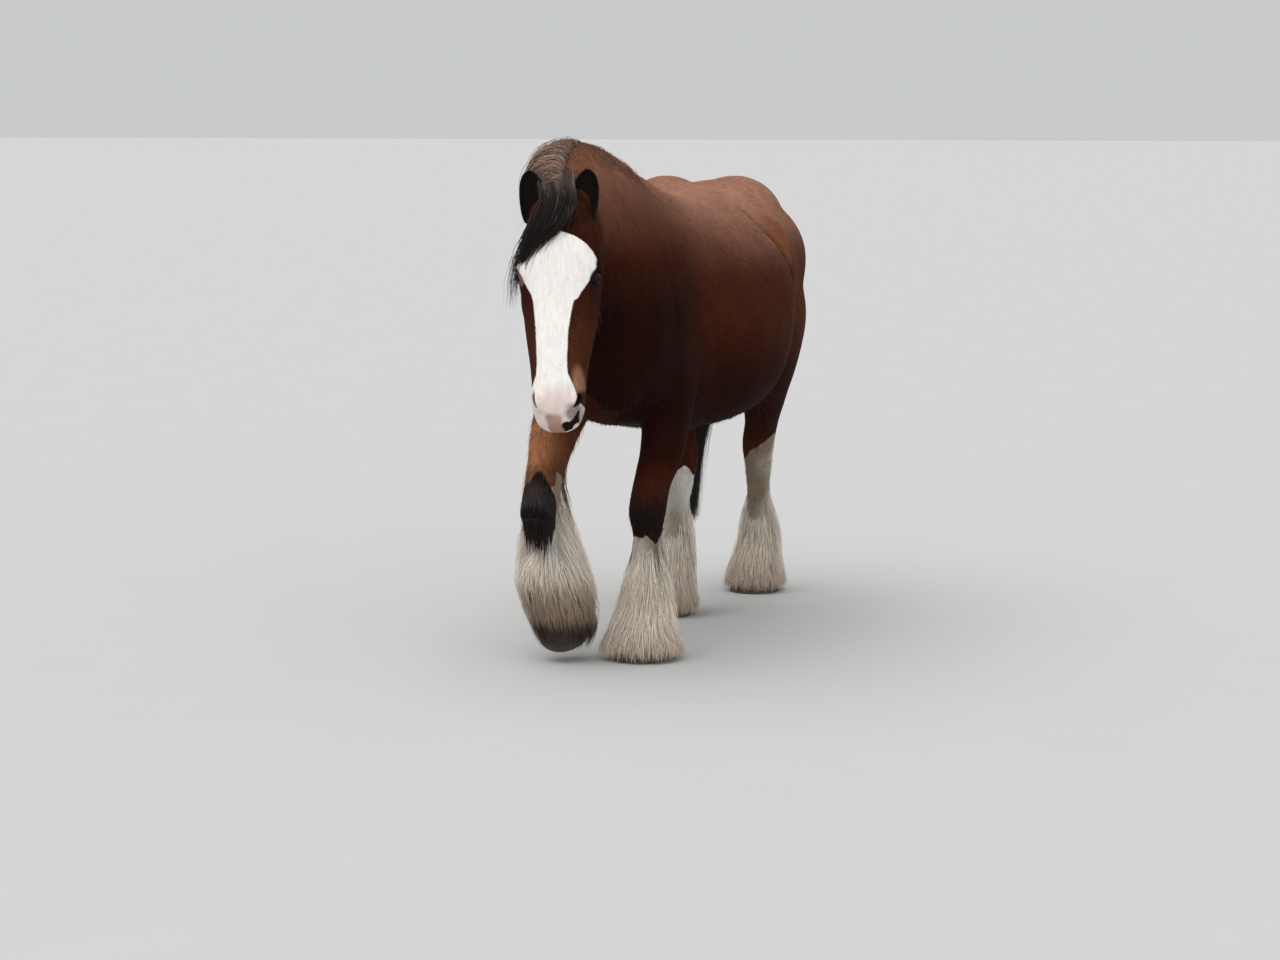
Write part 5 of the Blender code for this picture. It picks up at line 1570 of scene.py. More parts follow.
def build_mane(looks, hair, tree):
    """The mane: from the crest over the top and down the neck's right, sun-bleached outside."""
    chance = np.random.default_rng(11)
    count, steps = hair.mane, 7
    span = MANE_TO - MANE_FROM
    start = MANE_FROM + span * chance.random(count) ** 0.85
    share = shares(steps)
    full = np.sin(math.pi * (0.10 + 0.52 * (start - MANE_FROM) / span))
    hang = chance.uniform(0.70, 1.22, 70)[(start * 64).astype(int)]
    length = (54 + 36 * chance.random(count)) * hang * full * (1 - 0.45 * eased(0.80, 0.92, start))
    begin = 84 + 12 * chance.random(count)
    turn = begin[:, None] + length[:, None] * share ** 1.15
    layer = chance.random(count) ** 0.8 * np.where(chance.random(count) < 0.06, 1.5, 1.0)
    near_poll = eased(0.45, 0.75, start)
    behind_ear = near_poll * eased(0.92, 0.78, start)
    lift = (0.012 + 0.026 * layer) * (0.35 + 0.65 * near_poll) + behind_ear * (0.002 + 0.024 * layer)
    lift = lift[:, None] * np.sin(math.pi * np.clip(share * 0.84 + 0.03, 0, 1)) - 0.004 * (share < 0.01)
    forward = (0.05 * eased(0.45, 0.80, start) + 0.03 * (chance.random(count) - 0.5))[:, None] * share
    paths, outs = over_neck(start[:, None] + forward, turn, lift)
    keys = np.stack([start * 2.2, begin / 90, layer * 0.12], axis=1)
    paths, lock = gathered(paths, keys, MANE_LOCKS, 0.84, chance)
    paths = outside(wavy(paths, 0.014, 0.7, chance), tree, 0.004)
    widths = taper(count, steps, hair.half_width * 1.25, chance)
    near_poll = near_poll[:, None]
    brown = np.random.default_rng(6).random(lock.max() + 1)[lock][:, None] * 0.75
    bleached = np.array(looks.bleached) * (1 - brown) + np.array(looks.crest) * 0.8 * brown
    bleached = bleached * (0.80 + 0.5 * layer[:, None])
    root = mixed(np.array(looks.crest) * 0.6, bleached, near_poll)
    tip = np.array(looks.mane) * 0.8 * (1 - near_poll * 0.7) + bleached * near_poll * 0.7
    shade = per_lock(np.random.default_rng(5), lock, 0.30, 1.60)[:, None]
    places = np.stack([0.05 + 0.9 * start, 0.2 + 0.6 * (begin - 84) / 12], axis=1)
    locks = Tufts(paths, widths, outs, places, toned(root * shade, tip * shade, count, steps, chance))
    return tuft_mesh("mane", locks, crest_fuzz(looks, hair, chance))


def build_forelock(looks, hair, tree):
    """The forelock: dark locks from between the ears, over the brow and past the right eye."""
    chance = np.random.default_rng(12)
    count, steps = hair.forelock, 8
    guide = np.array(blend_rows(FORELOCK, CURVE_STEPS))
    hanging = chance.random(count) < 0.022
    reach = np.where(hanging, 0.60 + 0.14 * chance.random(count), 0.54 + 0.48 * chance.random(count) ** 2.2)
    fan = np.where(hanging, 0.6 + 0.4 * chance.random(count), chance.uniform(-1, 1, count))
    begin = np.where(hanging, 0.2, 0.42 * chance.random(count) ** 0.7)[:, None]
    along = begin + (reach[:, None] - begin) * shares(steps)
    rows = sampled(guide, along)
    loose = hanging[:, None] * shares(steps) ** 1.4
    aside = chance.uniform(-0.03, 0.03, count)[:, None]
    side = rows[..., 0] * (1 - loose) + aside * loose + rows[..., 3] * fan[:, None] * (1 - 0.8 * loose)
    layer = chance.random(count)
    lift = rows[..., 2] + 0.011 * layer[:, None] * shares(steps) ** 0.5
    own = np.stack([side, -lift, -rows[..., 1]], axis=-1)
    matrix = np.array(HEAD_FRAME)
    paths = own @ matrix[:3, :3].T + matrix[:3, 3]
    keys = np.stack([fan * 1.2, reach, begin[:, 0], layer * 0.4, hanging * 3.0], axis=1)
    paths, lock = gathered(paths, keys, FORELOCK_LOCKS, 0.84, chance)
    paths = outside(wavy(paths, 0.012, 0.7, chance), tree, 0.003)
    outs = np.tile(matrix[:3, :3] @ np.array((-0.35, -1.0, 0.15)), (count, steps, 1))
    bleached = 0.10 + 0.65 * chance.random(lock.max() + 1)[lock]
    faded = eased(0.38, 0.10, along)[..., None] * bleached[:, None, None]
    streak = (chance.random(count) < 0.07)[:, None, None] * 0.35
    tone = mixed(looks.mane, looks.bleached, np.maximum(faded, streak))
    shade = per_lock(chance, lock, 0.55, 1.45) * chance.uniform(0.8, 1.2, count)
    places = np.stack([0.5 + 0.4 * fan, 0.2 + 0.6 * np.clip(reach, 0, 1)], axis=1)
    widths = taper(count, steps, hair.half_width * 1.1, chance)
    return tuft_mesh("forelock", Tufts(paths, widths, outs, places, tone * shade[:, None, None]))


def build_tail(looks, hair, tree):
    """The tail: long black hair from the dock, swung a little to the horse's right."""
    chance = np.random.default_rng(13)
    count, steps = hair.tail, 8
    rows = np.array(blend_rows(TAIL, CURVE_STEPS))
    centres = np.stack([rows[:, 0], -rows[:, 1], rows[:, 2]], axis=1)
    along = np.gradient(centres, axis=0)
    along /= np.linalg.norm(along, axis=1, keepdims=True)
    across = np.array(SIDEWAYS) - along * along[:, :1]
    across /= np.linalg.norm(across, axis=1, keepdims=True)
    behind = np.cross(along, across)
    table = np.concatenate([centres, across * rows[:, 3:4], behind * rows[:, 5:6]], axis=1)
    begin = 0.03 + 0.36 * chance.random(count)
    end = np.clip(0.62 + 0.40 * chance.random(count), 0, 0.995)
    share = shares(steps)
    here = sampled(table, begin[:, None] + (end - begin)[:, None] * share)
    turn = chance.uniform(0, 2 * math.pi, count)
    layer = 0.35 + 0.65 * chance.random(count) ** 0.6
    depth = 0.30 + (layer - 0.30)[:, None] * np.clip(share * 2.5, 0, 1)
    out = here[..., 3:6] * np.cos(turn)[:, None, None] + here[..., 6:9] * np.sin(turn)[:, None, None]
    paths = here[..., :3] + out * depth[..., None]
    keys = np.stack([np.cos(turn), np.sin(turn), end * 3], axis=1)
    paths = gathered(paths, keys, TAIL_LOCKS, 0.75, chance)[0]
    paths = outside(wavy(paths, 0.012, 0.9, chance), tree, 0.002)
    places = np.stack([turn / (2 * math.pi), 0.1 + 2 * begin], axis=1)
    widths = taper(count, steps, hair.half_width * 1.5, chance)
    brown = (chance.random(count) < 0.15)[:, None]
    tip = np.where(brown, np.array(looks.dark_bay_and_shade) * 1.5, np.array(looks.black))
    tones = toned(looks.black, tip, count, steps, chance)
    return tuft_mesh("tail_hair", Tufts(paths, widths, out, places, tones))


def raised(flat, up):
    """Vectors from their (x, y) and their height."""
    return np.concatenate([flat, np.broadcast_to(up, flat.shape[:-1])[..., None]], axis=-1)


def feather_axis(leg, up):
    """Middle of the leg at each height, as x and y."""
    side, ahead, level = leg_line(leg)[::-1].T
    return np.stack([np.interp(up, level, side), -np.interp(up, level, ahead)], axis=-1)


def feather_reach(profile, up, turn):
    """How far the feather's outside stands from the leg's middle at each height and turn."""
    level, wide, back = np.array(profile)[::-1].T
    wide = np.interp(up, level, wide)
    ahead = np.cos(turn)
    long = np.where(ahead > 0, wide * 0.90, np.interp(up, level, back))
    return np.sqrt((wide * np.sin(turn)) ** 2 + (long * ahead) ** 2)


def skin_reach(tree, middle, direction, up):
    """How far the skin stands from a leg's middle, or the usual reach where the skin has ended."""
    reach = np.full(len(up), USUAL_REACH)
    for index in range(len(up)):
        ray = Vector((*direction[index], 0.0))
        start = Vector((*middle[index], up[index])) + ray * RAY_START
        hit, _, _, away = tree.ray_cast(start, -ray, RAY_START)
        if hit is not None:
            reach[index] = min(RAY_START - away, MOST_REACH)
    return reach


def feather_tones(leg, looks, roots, up, share):
    """Colours of a feather's strands: white over the white of the leg, dulled with soil lower down; on the
    standing foreleg darker at the top, with soil and painted shade.
    """
    marks = markings(roots, looks)
    is_white = (marks["white"] > 0)[:, None]
    own = np.array(looks.feather) * 0.75 + marks["pale"] * 0.25
    root = np.where(is_white, own, marks["tone"])
    root = np.where((marks["dark"] > 0)[:, None], np.array(looks.black), root)
    tip = np.where(is_white, np.array(looks.feather_tip), root)
    tone = mixed(root[:, None], tip[:, None], share[..., None])
    if leg.toe_down > 0:
        under = np.array(looks.tan) * 0.68 + np.array(looks.soil_and_shade) * 0.32
        tone = mixed(tone, under, eased(0.330, 0.190, up)[..., None] * 0.80)
        return mixed(tone, looks.sole_hair, eased(0.170, 0.110, up)[..., None])
    # Standing fore feather darker at its top: painted shade under the body, with soil.
    tone = mixed(tone, looks.soil_and_shade, eased(0.300, 0.420, up)[..., None] * (0.0 if leg.hind else 0.45))
    return mixed(tone, looks.tan, eased(0.150, 0.010, up)[..., None] * 0.48)


def build_feather(name, leg, looks, hair, tree):
    """The feather of one leg: silky hair from under the knee or hock, out over the hoof."""
    chance = np.random.default_rng(20 + list(LOWER).index(name))
    lifted = leg.toe_down > 0
    profile = LIFTED_FEATHER if lifted else HIND_FEATHER if leg.hind else FEATHER
    count, steps = hair.feather, 7
    turn = chance.uniform(0, 2 * math.pi, count)
    front = np.cos(turn)
    if lifted:
        low, highest, floor, bunched = 0.180, 0.690 - 0.25 * np.clip((front + 0.1) / 0.7, 0, 1), 0.036, 0.85
    else:
        highest = 0.440 - (0.11 if leg.hind else 0.035) * np.clip(front, 0, 1)
        low, floor, bunched = 0.085, 0.006, 1.15
    root_up = low + (highest - 0.04 * chance.random(count) - low) * chance.random(count) ** bunched
    length = (0.120 + 0.140 * chance.random(count)) * (1.0 - 0.20 * np.clip(front, 0, 1))
    share = shares(steps)
    bottom = floor + 0.034 * chance.random(count) ** 2
    end_up = np.maximum(root_up - length, bottom)
    up = root_up[:, None] + (end_up - root_up)[:, None] * share
    layer = 0.76 + 0.26 * chance.random(count)
    spin = turn[:, None] + 0.26 * (chance.random(count) - 0.5)[:, None] * share
    axis = feather_axis(leg, up)
    outer = feather_reach(profile, up, spin) * layer[:, None]
    direction = np.stack([np.sin(spin), -np.cos(spin)], axis=-1)
    inner = skin_reach(tree, axis[:, 0], direction[:, 0], root_up)[:, None]
    radial = mixed(inner - 0.003, np.maximum(outer, inner * 0.9), eased(0.0, 0.70, share))
    paths = raised(axis + direction * radial[..., None], up)
    keys = np.stack([np.cos(turn) * 2.2, np.sin(turn) * 2.2, root_up * 4, layer], axis=1)
    paths, lock = gathered(paths, keys, FEATHER_LOCKS, 0.42, chance)
    paths = wavy(paths, 0.006, 0.8, chance)
    paths[..., 2] = np.maximum(paths[..., 2], floor * 0.5)
    tone = feather_tones(leg, looks, paths[:, 0], up, share)
    shade = per_lock(chance, lock, 0.92, 1.07) * chance.uniform(0.94, 1.07, count)
    shade = np.where(chance.random(count) < 0.08, shade * 0.80, shade)
    places = np.stack([turn / (2 * math.pi), root_up * 1.4], axis=1)
    widths = taper(count, steps, hair.half_width * 1.05, chance, 0.35, 1.8)
    return tuft_mesh("feather_" + name,
                     Tufts(paths, widths, raised(direction, 0.3), places, tone * shade[:, None, None]))


def build_short_tufts(mesh, looks, hair):
    """Short tufts where the coat breaks the outline: throat, jaw, breast, belly, elbows and thighs."""
    chance = np.random.default_rng(31)
    centres, normals = values_of(mesh.polygons, "center"), values_of(mesh.polygons, "normal")
    areas = values_of(mesh.polygons, "area", 1)[:, 0]
    up, ahead, side = centres[:, 2], -centres[:, 1], centres[:, 0]
    head = head_share(centres)
    place = on_head(centres)
    under = eased(-0.35, -0.85, normals[:, 2])
    breast = eased(-0.15, -0.45, normals[:, 2]) * eased(0.55, 0.75, ahead) * (1 - head) * (up < 1.3)
    downs, _, jaws, *_ = zip(*HEAD)
    under_jaw = eased(0.80, 0.94, place[:, 2] / np.interp(place[:, 1], downs, jaws))
    under_jaw = under_jaw * (place[:, 1] > 0.12) * (place[:, 1] < 0.62)
    forearm = (up > 0.60) * (up < 0.84) * (ahead > 0.45) * (side < -0.08)
    weight = under * (1 - head) * 2.2 * (up > 0.55)
    for more in (breast * 0.8, head * under_jaw * 7.0, (up < 0.62) * (up > 0.10) * 1.6, forearm * 2.4):
        weight = weight + more
    weight = np.where((head > 0.4) & (under_jaw < 0.05), 0.0, weight)
    weight = np.where(up < 0.09, 0.0, weight)
    count, steps = hair.tufts, 4
    chosen = chance.choice(len(areas), count, p=weight * areas / np.sum(weight * areas))
    jitter = chance.normal(size=(count, 3)) * 0.004
    root, normal = centres[chosen], normals[chosen]
    jitter -= normal * np.sum(jitter * normal, axis=1, keepdims=True)
    root = root + jitter
    flow = lie_of(root)
    flow = unit(flow - normal * np.sum(flow * normal, axis=1, keepdims=True))
    jaw = head[chosen] > 0.4
    length = np.where(jaw, 0.040, 0.018) * chance.uniform(0.5, 1.4, count)
    length = np.where((under[chosen] > 0.3) & ~jaw, length * 0.7, length)
    length = np.where(forearm[chosen] > 0, length * 1.5, length)
    share = shares(steps)[..., None]
    lift = chance.uniform(0.10, 0.42, (count, 1, 1)) + 0.15 * jaw[:, None, None]
    paths = root[:, None] - normal[:, None] * 0.0015 + flow[:, None] * length[:, None, None] * share
    paths = paths + normal[:, None] * length[:, None, None] * lift * share ** 0.8
    paths[..., 2] -= length[:, None] * 0.25 * shares(steps) ** 2
    marks = markings(root, looks)
    tone = np.where((marks["white"] > 0.002)[:, None], marks["pale"] * 0.9, marks["tone"])
    tone = np.where((marks["dark"] > 0)[:, None], np.array(looks.black), tone)
    tip = np.where(jaw[:, None], np.array(looks.tan) * 0.55, tone * 1.15)
    turn = np.arctan2(side[chosen], up[chosen] - 1.0)
    places = np.stack([(ahead[chosen] + 1.4) / 3.0, (turn + math.pi) / 7], axis=1)
    outs = np.repeat(normal[:, None], steps, axis=1)
    widths = taper(count, steps, hair.half_width * 0.75, chance)
    tones = toned(tone, tip, count, steps, chance, 0.2)
    return tuft_mesh("short_tufts", Tufts(paths, widths, outs, places, tones))


def build_knee_hair(looks, hair, tree):
    """Long black hair over the front of the lifted knee."""
    chance = np.random.default_rng(32)
    leg = LOWER["fore_right"]
    count, steps = hair.knee, 6
    top = 0.482 + 0.153 * chance.random(count) ** 0.9
    turn = np.clip(chance.normal(0, 0.45, count), -0.95, 0.95) * (0.45 + 0.50 * eased(0.46, 0.54, top))
    turn = turn * (1 - 0.45 * eased(0.57, 0.65, top))
    length = 0.050 + 0.095 * chance.random(count)
    share = shares(steps)
    up = top[:, None] - length[:, None] * share
    axis = feather_axis(leg, up) * 0.45 + feather_axis(leg, np.repeat(top[:, None], steps, axis=1)) * 0.55
    spin = turn[:, None] * (1 - 0.25 * share)
    direction = np.stack([np.sin(spin), -np.cos(spin)], axis=-1)
    start = skin_reach(tree, axis[:, 0], direction[:, 0], top)
    lift = 0.003 + 0.016 * chance.random(count)
    radial = start[:, None] - 0.002 + lift[:, None] * share
    paths = raised(axis + direction * radial[..., None], up)
    paths = gathered(paths, np.stack([turn * 2, top * 5], axis=1), KNEE_LOCKS, 0.6, chance)[0]
    paths = outside(wavy(paths, 0.003, 0.6, chance), tree, 0.002)
    places = np.stack([0.5 + turn / 4, top], axis=1)
    streak = np.where(chance.random(count) < 0.35, 2.6, 0.9)[:, None]
    root = mixed(looks.black, looks.dark_bay_and_shade, eased(0.57, 0.655, top)[:, None] * 0.8)
    widths = taper(count, steps, hair.half_width, chance)
    tones = toned(root * streak, np.array(looks.black) * 1.2 * streak, count, steps, chance, 0.3)
    return tuft_mesh("knee_hair", Tufts(paths, widths, raised(direction, 0.2), places, tones))


def ear_tufts(sign, looks, hair, chance):
    """Fine hair at the edges and in the cup of one ear."""
    count, steps = hair.ear, 4
    share = np.linspace(0, 1, steps)[:, None]
    forward = np.array(HEAD_FRAME)[:3, :3] @ np.array((0, -1.0, 0))
    rings = ear_rings(sign)
    middle = np.array(sum((Vector(p) for p in rings[len(rings) // 2]), Vector()) / len(rings[0]))
    which = (len(rings) - 8) * chance.random(count)
    edge = chance.random(count) < 0.55
    paths = np.empty((count, steps, 3))
    for index, (level, at_edge) in enumerate(zip(which.astype(int), edge)):
        if at_edge:
            corner = chance.choice([0, EAR_SIDES - 1])
        else:
            corner = chance.integers(EAR_SIDES + 1, 2 * EAR_SIDES - 1)
        after = rings[min(level + 4, len(rings) - 1)]
        root, upper = np.array(rings[level][corner]), np.array(after[corner])
        towards = middle - root
        towards[2] = 0
        long = 0.012 + 0.016 * chance.random()
        bend = unit(towards) * (0.25 if at_edge else 0.1) + forward * 0.30 * chance.random()
        paths[index] = root + unit(upper - root) * 0.75 * long * share + bend * long * share ** 1.5
    places = np.stack([0.25 + 0.5 * (sign > 0) + 0.2 * which / len(rings), 0.3 + 0.3 * edge], axis=1)
    root = np.where(edge[:, None], np.array(looks.dark_bay_and_shade), np.array(looks.black))
    widths = taper(count, steps, hair.half_width * 0.5, chance)
    outs = np.tile(forward, (count, steps, 1))
    return Tufts(paths, widths, outs, places, toned(root, root * 1.4, count, steps, chance))


def build_ear_hair(looks, hair):
    """Fine hair in and round the cup of each ear."""
    chance = np.random.default_rng(33)
    return tuft_mesh("ear_hair", *[ear_tufts(sign, looks, hair, chance) for sign in (1, -1)])


def build_floor(settings, looks):
    """A wide plain floor."""
    bm = bmesh.new()
    bmesh.ops.create_grid(bm, x_segments=1, y_segments=1, size=settings.floor_size)
    floor = meshed("studio_floor", bm)
    floor.data.materials.append(floor_material(looks))


def aimed(obj, place, way):
    """Puts a light or the camera at a place, looking along a way."""
    obj.location = place
    obj.rotation_mode = "QUATERNION"
    obj.rotation_quaternion = way.to_track_quat("-Z", "Y")


def build_light(name, place, aim, softness, power):
    """A wide light, as even as an overcast sky."""
    data = bpy.data.lights.new(name, "SUN")
    data.angle = math.radians(softness)
    data.energy = power
    aimed(linked(name, data), place, Vector(aim) - Vector(place))


def build_camera():
    """The photo's viewing place and angle, from its horizon and the hooves' contacts."""
    turn = math.radians(CAMERA_TURN)
    across = Vector((math.cos(turn), math.sin(turn), 0))
    onward = Vector((-math.sin(turn), math.cos(turn), 0))
    distance = CAMERA_HEIGHT * CAMERA_FOCAL / (CONTACT_PIXEL[1] - HORIZON_PIXEL)
    aside = (CONTACT_PIXEL[0] - PHOTO_WIDTH / 2) * distance / CAMERA_FOCAL
    place = spot(CONTACT[0], CONTACT[1], 0) - onward * distance - across * aside
    data = bpy.data.cameras.new("camera")
    data.sensor_width = SENSOR_WIDTH
    data.lens = CAMERA_FOCAL * SENSOR_WIDTH / PHOTO_WIDTH
    camera = linked("camera", data)
    pitch = math.atan((PHOTO_HEIGHT / 2 - HORIZON_PIXEL) / CAMERA_FOCAL)
    look = onward * math.cos(pitch) - Vector((0, 0, math.sin(pitch)))
    aimed(camera, Vector((place.x, place.y, CAMERA_HEIGHT)) + SHIFT, look)
    bpy.context.scene.camera = camera


def shade_setting(name, description, default):
    return FloatVectorProperty(name=name, description=description, default=default, subtype="COLOR",
                               min=0, max=1)


def count_setting(name, description, default, least, most):
    return IntProperty(name=name + " tufts", description=description, default=default, min=least, max=most)


def power_setting(name, description, default):
    return FloatProperty(name=name, description=description, default=default, min=0)


class SkinLooks(PropertyGroup):
    """The skin's detail, and the colours of every piece."""

    voxel: FloatProperty(name="Skin detail", description="Size of the skin's squares on the body",
                         default=0.01196, min=0.006, max=0.03, unit="LENGTH")
    bay: shade_setting("Bay", "Main colour of the coat", (0.050, 0.0115, 0.0048))
    # Dark bay hair of the ears, tail, knee and ear edges, and painted shade on the chest, belly and flank
    # crease.
    dark_bay_and_shade: shade_setting("Dark bay", "Chest, belly and lower neck", (0.0125, 0.0033, 0.0022))
    rump: shade_setting("Rump", "Lit top of the rump and back", (0.270, 0.130, 0.086))
    # Also laid over the upper neck as painted sheen.
    crest: shade_setting("Crest", "Short hair along the top of the neck", (0.200, 0.090, 0.054))
    orange: shade_setting("Orange", "Warm hair of forearms and lower face", (0.180, 0.062, 0.024))
    fawn: shade_setting("Fawn", "Faded hair of the lifted forearm", (0.400, 0.170, 0.082))
    cheek: shade_setting("Cheek", "Sides of the face", (0.026, 0.0068, 0.0036))
    tan: shade_setting("Tan", "Pale brown over the left nostril and jaw hair", (0.300, 0.150, 0.080))
    black: shade_setting("Black", "Knees, tail, ear cups and dark skin", (0.0100, 0.0068, 0.0062))
    white: shade_setting("White", "Blaze and legs", (0.780, 0.750, 0.710))
    muzzle: shade_setting("Muzzle", "Pink white skin of the muzzle", (0.720, 0.600, 0.560))
    lip: shade_setting("Lip", "Brown pink patch of the upper lip", (0.300, 0.180, 0.130))
    mauve: shade_setting("Mauve", "Grey skin beside the left nostril", (0.240, 0.185, 0.190))
    pink: shade_setting("Pink", "Lids of the right eye", (0.260, 0.130, 0.105))
    # Grey soil, and also painted shade on the upper white of the legs and the top of the fore feathers.
    soil_and_shade: shade_setting("Soiled", "Grey soil on the white of the legs", (0.215, 0.168, 0.118))
    mane: shade_setting("Mane", "Dark hair of mane and forelock", (0.022, 0.016, 0.016))
    bleached: shade_setting("Bleached", "Sun-bleached hair of the upper mane", (0.270, 0.200, 0.160))
    feather: shade_setting("Feather", "Feather at its roots", (0.93, 0.87, 0.78))
    feather_tip: shade_setting("Feather tips", "Feather at its tips", (0.87, 0.76, 0.62))
    sole_hair: shade_setting("Sole hair", "Dark hair under the lifted foot", (0.036, 0.0125, 0.0040))
    horn: shade_setting("Horn", "Hoof horn", (0.030, 0.022, 0.017))
    iris: shade_setting("Iris", "Iris of the eyes", (0.020, 0.009, 0.004))
    floor: shade_setting("Floor", "Studio floor", (0.50, 0.50, 0.49))


class HairSettings(PropertyGroup):
    """How much hair each kind has, and how thick it is."""

    half_width: FloatProperty(name="Hair half width", description="Half the width of one fine tuft",
                              default=0.0012, min=0.0004, max=0.004, unit="LENGTH")
    mane: count_setting("Mane", "Tufts in the mane", 3900, 200, 4500)
    forelock: count_setting("Forelock", "Tufts in the forelock", 1100, 50, 4000)
    tail: count_setting("Tail", "Tufts in the tail", 4200, 200, 4300)
    feather: count_setting("Feather", "Tufts on each leg", 4600, 200, 5000)
    tufts: count_setting("Short", "Short tufts over the body", 9000, 100, 9500)
    knee: count_setting("Knee", "Long hair of the lifted knee", 1500, 50, 5000)
    ear: count_setting("Ear", "Hair in each ear", 260, 10, 2000)


class StageSettings(PropertyGroup):
    """Floor and lights."""

    floor_size: FloatProperty(name="Floor", description="Half the width of the floor", default=200.0, min=2,
                              unit="LENGTH")
    key_power: power_setting("Key light", "Strength of the soft light overhead", 2.1)
    fill_power: power_setting("Fill light", "Strength of the wide light at the front", 1.15)
    sky: power_setting("Surround", "Strength of the even light all round", 0.60)


HEAD_NODES = ("head", "neck", "torso", "ear_left", "ear_right")
TABLE_SKIN = "skin_at_tables"


def skin_tree():
    """The skin's surface at the tables' origin, where the hair is grown."""
    return tree_of(bpy.data.objects[TABLE_SKIN].data)


def placed(obj, slot, *nodes):
    """Moves a finished piece from the tables' origin to the frame's, and ties it to the frame."""
    obj.data.transform(Matrix.Translation(SHIFT))
    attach(obj, "root")
    if nodes:
        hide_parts(*nodes)


def haired(scene, build, material, slot, *nodes):
    """Builds one piece of hair on the skin, gives it its material and places it."""
    hair = build(scene.horse_looks, scene.horse_hair, skin_tree())
    hair.data.materials.append(hair_material(*material))
    placed(hair, slot, *nodes)


class HORSE_OT_skin(Operator):
    """Grow the skin with its lids, ears, nostrils and markings"""

    bl_idname = "horse.skin"
    bl_label = "Skin"

    def execute(self, context):
        looks = context.scene.horse_looks
        skin, ear_start = sculpted_skin(looks)
        paint_skin(skin.data, ear_start, looks)
        skin.data.materials.append(skin_material(looks))
        hidden = bpy.data.objects.new(TABLE_SKIN, skin.data.copy())
        hidden.use_fake_user = True
        legs = [kind + name for kind in ("upper_leg_", "lower_leg_") for name in LOWER]
        placed(skin, "bay_coat", *HEAD_NODES, *legs)
        return {"FINISHED"}


class HORSE_OT_eyes(Operator):
    """Set both eyeballs in their sockets"""

    bl_idname = "horse.eyes"
    bl_label = "Eyes"

    def execute(self, context):
        placed(build_eyeballs(context.scene.horse_looks), "eye", "eye_left", "eye_right")
        return {"FINISHED"}


class HORSE_OT_hooves(Operator):
    """Make the four hooves"""

    bl_idname = "horse.hooves"
    bl_label = "Hooves"

    def execute(self, context):
        placed(build_hooves(context.scene.horse_looks), "hoof_horn", *["hoof_" + name for name in LOWER])
        return {"FINISHED"}


class HORSE_OT_mane(Operator):
    """Comb the mane over to the horse's right"""

    bl_idname = "horse.mane"
    bl_label = "Mane"

    def execute(self, context):
        haired(context.scene, build_mane, ("mane_hair", 0.65, 0.15), "black_hair")
        return {"FINISHED"}


class HORSE_OT_forelock(Operator):
    """Lay the forelock over the right eye"""

    bl_idname = "horse.forelock"
    bl_label = "Forelock"

    def execute(self, context):
        haired(context.scene, build_forelock, ("forelock_hair", 0.65, 0.12), "black_hair")
        return {"FINISHED"}


class HORSE_OT_tail(Operator):
    """Hang the tail"""

    bl_idname = "horse.tail"
    bl_label = "Tail"

    def execute(self, context):
        haired(context.scene, build_tail, ("tail_hair", 0.45, 0.35), "black_hair", "tail")
        return {"FINISHED"}


class HORSE_OT_feather(Operator):
    """Grow the feather of all four legs"""

    bl_idname = "horse.feather"
    bl_label = "Feather"

    def execute(self, context):
        scene = context.scene
        tree = skin_tree()
        material = hair_material("feather_hair", 0.65, 0.25, 0.14)
        for name, leg in LOWER.items():
            feather = build_feather(name, leg, scene.horse_looks, scene.horse_hair, tree)
            feather.data.materials.append(material)
            placed(feather, "white_feather")
        return {"FINISHED"}


class HORSE_OT_short_hair(Operator):
    """Add short tufts to the outline, the knee's long hair and the ears' hair"""

    bl_idname = "horse.short_hair"
    bl_label = "Short Hair"

    def execute(self, context):
        scene = context.scene
        looks, hair = scene.horse_looks, scene.horse_hair
        skin = bpy.data.objects[TABLE_SKIN].data
        material = hair_material("short_hair", 0.60, 0.25)
        for tufts, slot in ((build_short_tufts(skin, looks, hair), "bay_coat"),
                            (build_knee_hair(looks, hair, skin_tree()), "black_hair"),
                            (build_ear_hair(looks, hair), "ear")):
            tufts.data.materials.append(material)
            placed(tufts, slot)
        return {"FINISHED"}


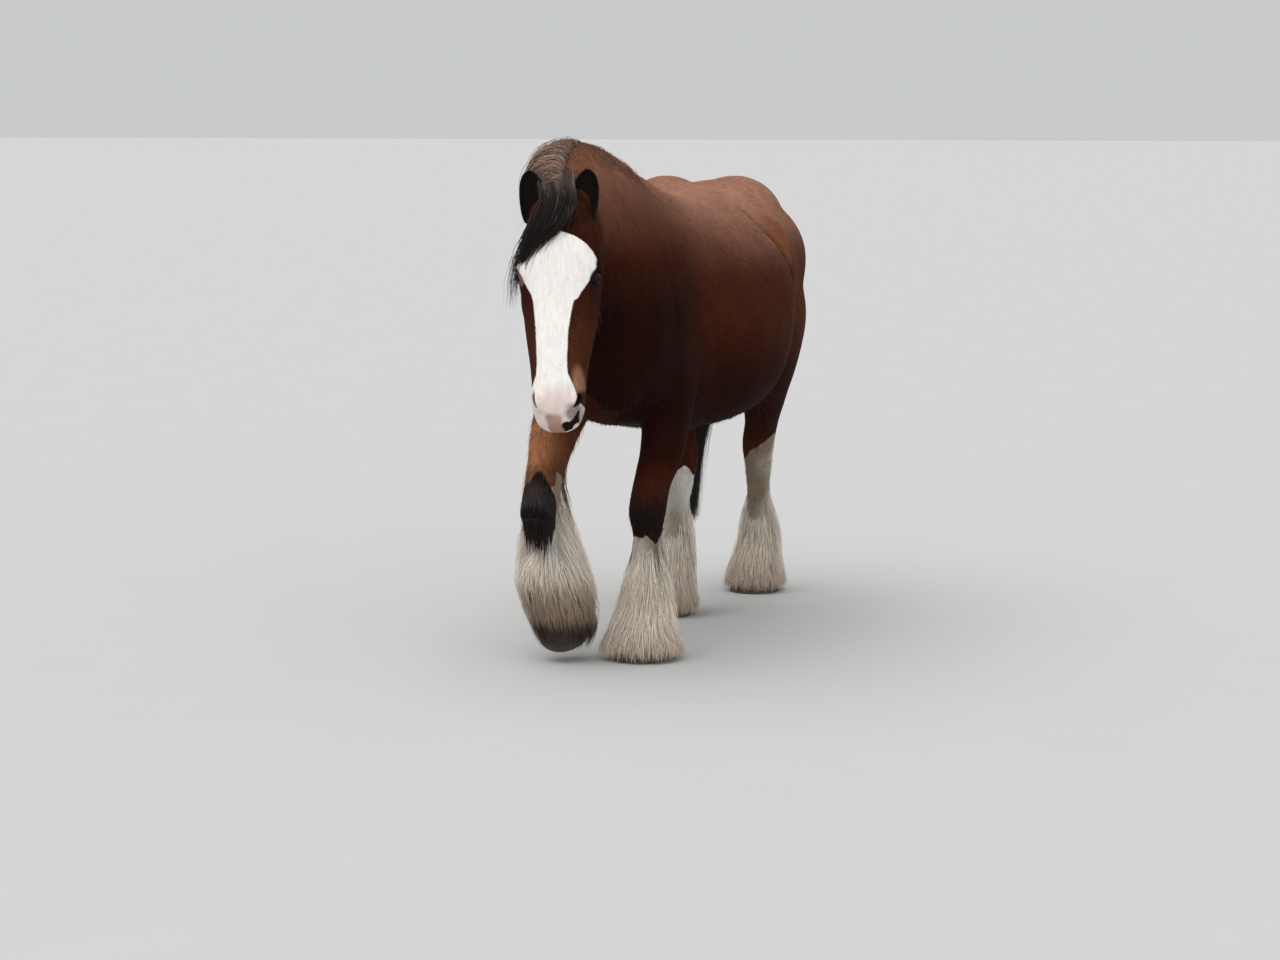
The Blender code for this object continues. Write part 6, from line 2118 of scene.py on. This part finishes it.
class HORSE_OT_stage(Operator):
    """Set the floor, the lights and the camera"""

    bl_idname = "horse.stage"
    bl_label = "Stage"

    def execute(self, context):
        scene = context.scene
        stage = scene.horse_stage
        build_floor(stage, scene.horse_looks)
        scene.view_settings.view_transform = "Standard"
        build_light("key", *KEY_LIGHT, stage.key_power)
        build_light("fill", *FILL_LIGHT, stage.fill_power)
        world = scene.world or bpy.data.worlds.new("surround")
        scene.world = world
        world.use_nodes = True
        background = world.node_tree.nodes["Background"]
        background.inputs["Color"].default_value = SKY_COLOUR
        background.inputs["Strength"].default_value = stage.sky
        build_camera()
        return {"FINISHED"}


STEPS = (HORSE_OT_skin, HORSE_OT_eyes, HORSE_OT_hooves, HORSE_OT_mane, HORSE_OT_forelock, HORSE_OT_tail,
         HORSE_OT_feather, HORSE_OT_short_hair, HORSE_OT_stage)


class HORSE_PT_panel(Panel):
    """Lists the horse's settings and its making steps."""

    bl_label = "Draught Horse"
    bl_idname = "HORSE_PT_panel"
    bl_space_type = "VIEW_3D"
    bl_region_type = "UI"
    bl_category = "Horse"

    def draw(self, context):
        scene = context.scene
        for group in (scene.horse_looks, scene.horse_hair, scene.horse_stage):
            box = self.layout.box()
            for name in group.__annotations__:
                box.prop(group, name)
        for step in STEPS:
            self.layout.operator(step.bl_idname)


CLASSES = (SkinLooks, HairSettings, StageSettings, *STEPS, HORSE_PT_panel)


def register():
    for kind in CLASSES:
        bpy.utils.register_class(kind)
    bpy.types.Scene.horse_looks = PointerProperty(type=SkinLooks)
    bpy.types.Scene.horse_hair = PointerProperty(type=HairSettings)
    bpy.types.Scene.horse_stage = PointerProperty(type=StageSettings)


def unregister():
    for name in ("horse_stage", "horse_hair", "horse_looks"):
        delattr(bpy.types.Scene, name)
    for kind in reversed(CLASSES):
        bpy.utils.unregister_class(kind)


def main():
    register()
    for step in STEPS:
        group, name = step.bl_idname.split(".")
        getattr(getattr(bpy.ops, group), name)()
    bpy.data.meshes.remove(bpy.data.objects[TABLE_SKIN].data)


if __name__ == "__main__":
    main()
